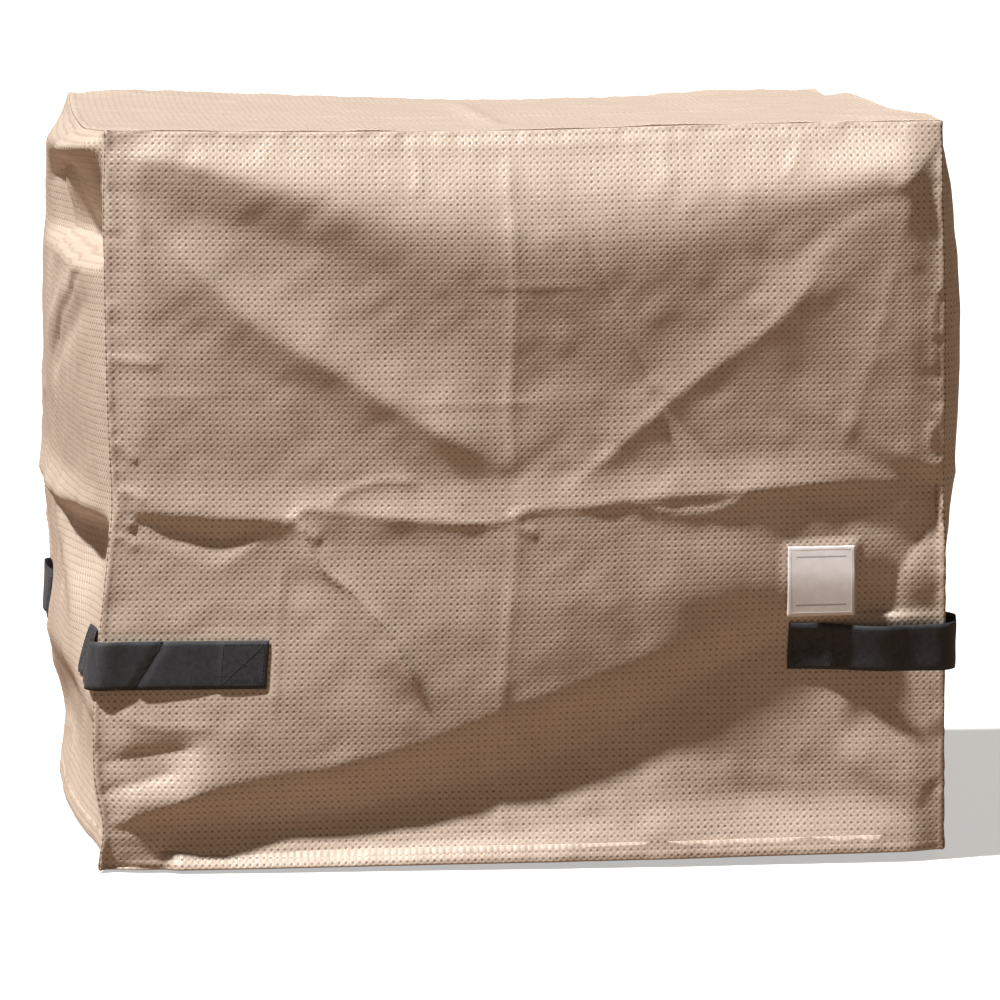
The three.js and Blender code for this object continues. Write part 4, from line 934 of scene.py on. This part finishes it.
def makeLabelMaterial():
    material, tree, principled, where, tone, weave = startMaterial("white woven label", labelLook)
    across, along = place(tree, "ShaderNodeSeparateXYZ", {0: where}).outputs[:2]
    fromMiddle = combine(tree, "ABSOLUTE", along)
    inLine = combine(tree, "COMPARE", fromMiddle, labelLook["lineAt"], labelLook["lineWidth"])
    within = combine(tree, "LESS_THAN", combine(tree, "ABSOLUTE", across), labelLook["lineReach"])
    colour = blendColours(tree, combine(tree, "MULTIPLY", inLine, within), tone["Color"], labelLook["line"])
    principled.inputs["Sheen Weight"].default_value = labelLook["sheen"]
    finishMaterial(tree, principled, labelLook, colour, weave, weave)
    return material


threadLook = {"patch": 9.0, "rib": 0.8, "thread": 0.9, "slant": 1.0, "rough": (0.4, 0.6), "relief": 0.1}


def makeThreadMaterial(name, tone, otherTone):
    look = {**threadLook, "tone": tone, "otherTone": otherTone}
    material, tree, principled, where, shade, twist = startMaterial(name, look)
    finishMaterial(tree, principled, look, shade["Color"], twist, twist)
    return material


clothMaterial = makeClothMaterial()
webbingMaterial = makeWebbingMaterial()
labelMaterial = makeLabelMaterial()
hemThread = makeThreadMaterial("tan thread", (0.52, 0.41, 0.32, 1), (0.42, 0.32, 0.25, 1))
strapThread = makeThreadMaterial("black thread", (0.012, 0.012, 0.014, 1), (0.035, 0.036, 0.042, 1))
labelThread = makeThreadMaterial("white thread", (0.80, 0.77, 0.75, 1), (0.66, 0.62, 0.60, 1))
print("materials made")


def stitchMesh(name, lines, look, material):
    # short twisted threads along lines, each end drawn into the cloth
    points, faces, spots = [], [], []
    ringCount, sides = 5, 5
    turns = np.arange(sides) * 2 * math.pi / sides
    for line, normals in lines:
        runs = np.linalg.norm(np.diff(line, axis=0), axis=1)
        along = np.concatenate([[0], np.cumsum(runs)])
        step = look["length"] + look["gap"]
        count = int(along[-1] / step)
        spare = (along[-1] - count * step + look["gap"]) / 2
        for k in range(count):
            at = spare + k * step + np.linspace(0, look["length"], ringCount)
            middle = np.stack([np.interp(at, along, line[:, i]) for i in range(3)], 1)
            normal = unit(np.stack([np.interp(at, along, normals[:, i]) for i in range(3)], 1))
            tangent = unit(np.gradient(middle, axis=0))
            side = unit(np.cross(tangent, normal))
            share = np.linspace(-1, 1, ringCount)
            middle = middle + normal * ((1 - share ** 2) * look["rise"] - look["sunk"])[:, None]
            thick = look["radius"] * (0.6 + 0.4 * np.sqrt(np.clip(1 - share ** 4, 0, 1)))
            ring = np.cos(turns)[:, None] * normal[:, None] + np.sin(turns)[:, None] * side[:, None]
            body = middle[:, None] + ring * thick[:, None, None]
            first = len(points)
            points.extend(body.reshape(-1, 3))
            spots.extend([(at[r], j * 0.6, k) for r in range(ringCount) for j in range(sides)])
            for r in range(ringCount - 1):
                for j in range(sides):
                    a, b = first + r * sides + j, first + r * sides + (j + 1) % sides
                    faces.append((a, b, b + sides, a + sides))
            faces.append(tuple(first + j for j in reversed(range(sides))))
            faces.append(tuple(first + (ringCount - 1) * sides + j for j in range(sides)))
    piece = meshFrom(name, np.array(points), faces, np.array(spots))
    piece.data.materials.append(material)
    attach(piece, "root")
    return piece


hemStitch = {"length": 3.2, "gap": 1.3, "radius": 0.28, "rise": 0.2, "sunk": 0.16}


def makeHemStitching(panelName):
    panel = panels[panelName]
    x = np.linspace(panel["from"] * 0.982, panel["to"] * 0.982, 430)
    h = hem["stitchedAt"] + 0.5 * softNoise(x, x * 0, 70, panel["seed"] + 5)
    line = panelPoints(panelName, x, h)
    normals = panelNormals(panelName, x, h, detailed=True)
    line = line + 0.1 * normals
    piece = stitchMesh(panelName + "_hem_stitching", [(line, normals)], hemStitch, hemThread)
    return piece


panelPieces = {name: makePanel(name) for name in panels}
hemPieces = {name: makeHemStitching(name) for name in panels if name != "top_panel"}
print("panels laid:", ", ".join(panelPieces))

# Webbing sewn down at both ends, slack over the corner
webbing = {
    "width": 50, "thickness": 1.5, "clearance": 1.0, "rows": 10, "foldedEnd": 50, "foldRise": 1.0,
    "cup": 0.35, "wave": 0.25, "turnedIn": 5, "boxFrom": 5, "boxTo": 47, "boxInset": 4,
    "creases": {  # at, slant, depth, width
        "front_left_strap": [(232, 0.54, 3.2, 3.2), (150, -0.3, 0.6, 5)],
        "front_right_strap": [(118, 0.2, 0.7, 6)],
        "back_left_strap": [(170, 0.5, 0.7, 5)],
    },
}
strapStitch = {"length": 3.0, "gap": 0.8, "radius": 0.42, "rise": 0.4, "sunk": 0.12}


def shell(outer, inner):
    # a closed sheet between two grids
    rows, columns = outer.shape[:2]
    count = rows * columns
    faces = gridFaces(rows, columns)
    faces += [[count + i for i in reversed(face)] for face in faces]
    rim = list(range(columns)) + [r * columns + columns - 1 for r in range(1, rows)]
    rim += [(rows - 1) * columns + c for c in range(columns - 2, -1, -1)]
    rim += [r * columns for r in range(rows - 2, 0, -1)]
    for a, b in zip(rim, rim[1:] + rim[:1]):
        faces.append([a, count + a, count + b, b])
    return np.concatenate([outer.reshape(-1, 3), inner.reshape(-1, 3)]), faces


def strapLines(strap):
    # the underside of the webbing, a row of points for each line along it
    seam = uprightSeams[strap["seam"]]
    wall = "front_panel" if seam["face"] < 0 else "back_panel"
    side = "left_panel" if seam["side"] < 0 else "right_panel"
    longest = strap["wall"][0][0]
    lines = []
    for lift in np.linspace(-0.5, 0.5, webbing["rows"] + 1) * webbing["width"]:
        line = []
        for panelName, corner, half, sign, rows in ((wall, seam["side"], halfWidth, -1, strap["wall"]),
                                                    (side, seam["face"], halfDepth, 1, strap["side"])):
            away, off = np.array(rows, float).T
            x = corner * (half - away)
            share = 0.5 + 0.5 * sign * away / longest
            h = strap["wallHeight"] + (strap["sideHeight"] - strap["wallHeight"]) * share + lift
            normals = panelNormals(panelName, x, h)
            points = panelPoints(panelName, x, h, detailed=False)
            line.extend(points + normals * (off + webbing["clearance"])[:, None])
        lines.append(smoothLine(line, 7))
    grid = np.array(lines)
    if seam["side"] * seam["face"] > 0:
        grid = grid[:, ::-1]
    return grid


def creaseOn(strap, s, w, length):
    # a slanting fold in the webbing, and a slight cup across it
    cupped = smoothStep((np.minimum(s, length - s) - webbing["foldedEnd"]) / 25)
    total = webbing["cup"] * (w / (webbing["width"] / 2)) ** 2 * cupped
    for at, slant, depth, width in webbing["creases"].get(strap["name"], []):
        total = total - depth * np.exp(-(((s - at - slant * w) / width) ** 2))
    return total


def makeStrap(strap):
    inner = strapLines(strap)
    middle = inner[webbing["rows"] // 2]
    along = np.concatenate([[0], np.cumsum(np.linalg.norm(np.diff(middle, axis=0), axis=1))])
    length = along[-1]
    across = np.linspace(-0.5, 0.5, webbing["rows"] + 1) * webbing["width"]
    normals = gridNormals(inner)
    fromEnd = np.minimum(along, length - along)
    folded = webbing["foldRise"] * (1 - smoothStep((fromEnd - webbing["foldedEnd"] + 1.5) / 1.5))
    tip = smoothStep(fromEnd / 1.6 + 0.35)
    edge = (abs(across) / (webbing["width"] / 2)) ** 6
    s, w = np.meshgrid(along, across)
    wave = webbing["wave"] * softNoise(s, w, 26, 31)
    crease = creaseOn(strap, s, w, length)
    thick = webbing["thickness"] * (1 - 0.5 * edge[:, None]) * tip[None, :]
    outer = inner + normals * (thick + folded[None, :] * tip[None, :] + wave + crease)[..., None]
    under = inner + normals * (0.25 * edge[:, None] + crease)[..., None]
    points, faces = shell(outer, under)
    spot = np.stack([s, w, np.zeros(s.shape)], -1).reshape(-1, 3)
    piece = meshFrom(strap["name"] + "_webbing", points, faces, np.concatenate([spot, spot]))
    piece.data.materials.append(webbingMaterial)
    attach(piece, "root")
    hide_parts(strap["name"])

    # a boxed cross of stitches at each end
    def onWebbing(a, b):
        column = np.interp(a, along, np.arange(len(along)))
        row = np.interp(b, across, np.arange(len(across)))
        c, r = np.minimum(column.astype(int), len(along) - 2), np.minimum(row.astype(int), len(across) - 2)
        fc, fr = (column - c)[:, None], (row - r)[:, None]

        def mixed(grid):
            low = grid[r, c] * (1 - fc) + grid[r, c + 1] * fc
            high = grid[r + 1, c] * (1 - fc) + grid[r + 1, c + 1] * fc
            return low * (1 - fr) + high * fr
        return mixed(outer), unit(mixed(normals))

    lines = []
    wide = webbing["width"] / 2 - webbing["boxInset"]
    for flip in (False, True):
        near, far = webbing["boxFrom"], webbing["boxTo"]
        if flip:
            near, far = length - near, length - far
        low, high = [(near, -wide), (far, -wide)], [(near, wide), (far, wide)]
        for (a0, b0), (a1, b1) in ((low[0], low[1]), (low[1], high[1]), (high[1], high[0]),
                                   (high[0], low[0]), (low[0], high[1]), (high[0], low[1])):
            share = np.linspace(0, 1, 30)
            lines.append(onWebbing(a0 + (a1 - a0) * share, b0 + (b1 - b0) * share))
    stitches = stitchMesh(strap["name"] + "_stitching", lines, strapStitch, strapThread)
    return piece


strapPieces = {strap["name"]: makeStrap(strap) for strap in straps}
print("straps sewn:", len(strapPieces))

# A small woven square, stitched round its edge
label = {
    "x": 300, "h": 289, "size": 70, "thickness": 0.45, "clearance": 1.3, "cells": 34, "border": 3.2,
    "lift": 1.3, "fray": 0.35, "edgeWave": 0.3,
    "leanOut": 9.0,  # its foot stands a little further out than its head
}
labelStitch = {"length": 2.2, "gap": 0.7, "radius": 0.3, "rise": 0.25, "sunk": 0.08}


def labelAt(a, b):
    # a and b run from -0.5 to 0.5 across and up
    across, rising = a * label["size"], b * label["size"]
    x, h = label["x"] + across, label["h"] + rising
    frayed = label["fray"] * softNoise(across, rising, 7, 51)
    normals = panelNormals("front_panel", x, h)
    corner = smoothStep((a + b - 0.72) / 0.28) + 0.6 * smoothStep((-a - b - 0.8) / 0.2)
    nearEdge = smoothStep((np.maximum(abs(a), abs(b)) - 0.42) / 0.08)
    edgeWave = label["edgeWave"] * softNoise(across, rising, 12, 52) * nearEdge
    off = label["clearance"] + label["lift"] * corner + edgeWave + label["leanOut"] * (0.5 - b)
    x, h = x + frayed * (abs(a) > 0.499), h + frayed * (abs(b) > 0.499)
    return panelPoints("front_panel", x, h, detailed=False) + normals * off[..., None], normals


def makeLabel():
    shares = np.linspace(-0.5, 0.5, label["cells"] + 1)
    a, b = np.meshgrid(shares, shares)
    inner, normals = labelAt(a, b)
    outer = inner + normals * label["thickness"]
    points, faces = shell(outer, inner)
    spot = np.stack([a * label["size"], b * label["size"], np.zeros(a.shape)], -1).reshape(-1, 3)
    piece = meshFrom("label_woven", points, faces, np.concatenate([spot, spot]))
    piece.data.materials.append(labelMaterial)
    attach(piece, "root")
    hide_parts("label")
    reach = 0.5 - label["border"] / label["size"]
    corners = [(-reach, -reach), (reach, -reach), (reach, reach), (-reach, reach), (-reach, -reach)]
    lines = []
    for first, second in zip(corners, corners[1:]):
        line, facing = labelAt(*(np.linspace(first[i], second[i], 40) for i in (0, 1)))
        lines.append((line + facing * label["thickness"], facing))
    stitches = stitchMesh("label_stitching", lines, labelStitch, labelThread)
    return piece


makeLabel()
print("label sewn on")

# Floor, light and camera, in metres
studio = {
    "floorAt": -0.7575, "floorSize": 160,
    "floorTone": (0.60, 0.60, 0.60, 1), "floorGlow": (0.19, 0.125, 0.08, 1),
    "floorLift": (0.50, 0.49, 0.48, 1),
    "sunFrom": (-0.45, -0.19, 0.87), "sunStrength": 6.2, "sunAngle": 3.0, "sunTone": (1.0, 0.99, 0.97),
    "skyTone": (1.0, 0.80, 0.62, 1), "skyStrength": 0.10,
    "skyShown": (1.0, 1.0, 1.0, 1), "skyShownStrength": 1.0,
}
camera = {
    "at": (-0.77658, -7.42692, 0.30485), "azimuth": -6.12, "elevation": 5.54,
    "lens": 248.0, "sensor": 36, "sees": 200,
}


def makeStudio():
    half = studio["floorSize"] / 2
    corners = [(-half, -half), (half, -half), (half, half), (-half, half)]
    mesh = bpy.data.meshes.new("floor")
    mesh.from_pydata([(x, y, studio["floorAt"]) for x, y in corners], [], [(0, 1, 2, 3)])
    floor = bpy.data.objects.new("floor", mesh)
    bpy.context.scene.collection.objects.link(floor)
    material, tree, principled = newMaterial("pale floor")
    principled.inputs["Roughness"].default_value = 0.9
    seen = tree.nodes.new("ShaderNodeLightPath").outputs["Is Camera Ray"]
    colour = blendColours(tree, seen, studio["floorGlow"], studio["floorTone"])
    tree.links.new(colour, principled.inputs["Base Color"])
    lift = blendColours(tree, seen, (0, 0, 0, 1), studio["floorLift"])
    tree.links.new(lift, principled.inputs["Emission Color"])
    principled.inputs["Emission Strength"].default_value = 1.0
    floor.data.materials.append(material)

    sun = bpy.data.objects.new("sun", bpy.data.lights.new("sun", "SUN"))
    sun.data.energy = studio["sunStrength"]
    sun.data.angle = math.radians(studio["sunAngle"])
    sun.data.color = studio["sunTone"]
    sun.rotation_euler = Vector(studio["sunFrom"]).to_track_quat("Z", "Y").to_euler()
    bpy.context.scene.collection.objects.link(sun)

    world = bpy.data.worlds.new("sky")
    bpy.context.scene.world = world
    world.use_nodes = True
    tree = world.node_tree
    glow = feed(tree, tree.nodes["Background"], {"Color": studio["skyTone"],
                                                 "Strength": studio["skyStrength"]})
    shown = place(tree, "ShaderNodeBackground", {"Color": studio["skyShown"],
                                                 "Strength": studio["skyShownStrength"]})
    seen = tree.nodes.new("ShaderNodeLightPath").outputs["Is Camera Ray"]
    mixed = place(tree, "ShaderNodeMixShader", {0: seen, 1: glow.outputs[0], 2: shown.outputs[0]})
    tree.links.new(mixed.outputs[0], tree.nodes["World Output"].inputs["Surface"])


def makeCamera():
    eye = bpy.data.objects.new("camera", bpy.data.cameras.new("camera"))
    bpy.context.scene.collection.objects.link(eye)
    eye.location = camera["at"]
    eye.rotation_euler = (math.radians(90 - camera["elevation"]), 0, math.radians(camera["azimuth"]))
    eye.data.lens = camera["lens"]
    eye.data.sensor_width = camera["sensor"]
    eye.data.clip_end = camera["sees"]
    bpy.context.scene.camera = eye


makeStudio()
makeCamera()
bpy.context.scene.view_settings.view_transform = "Standard"
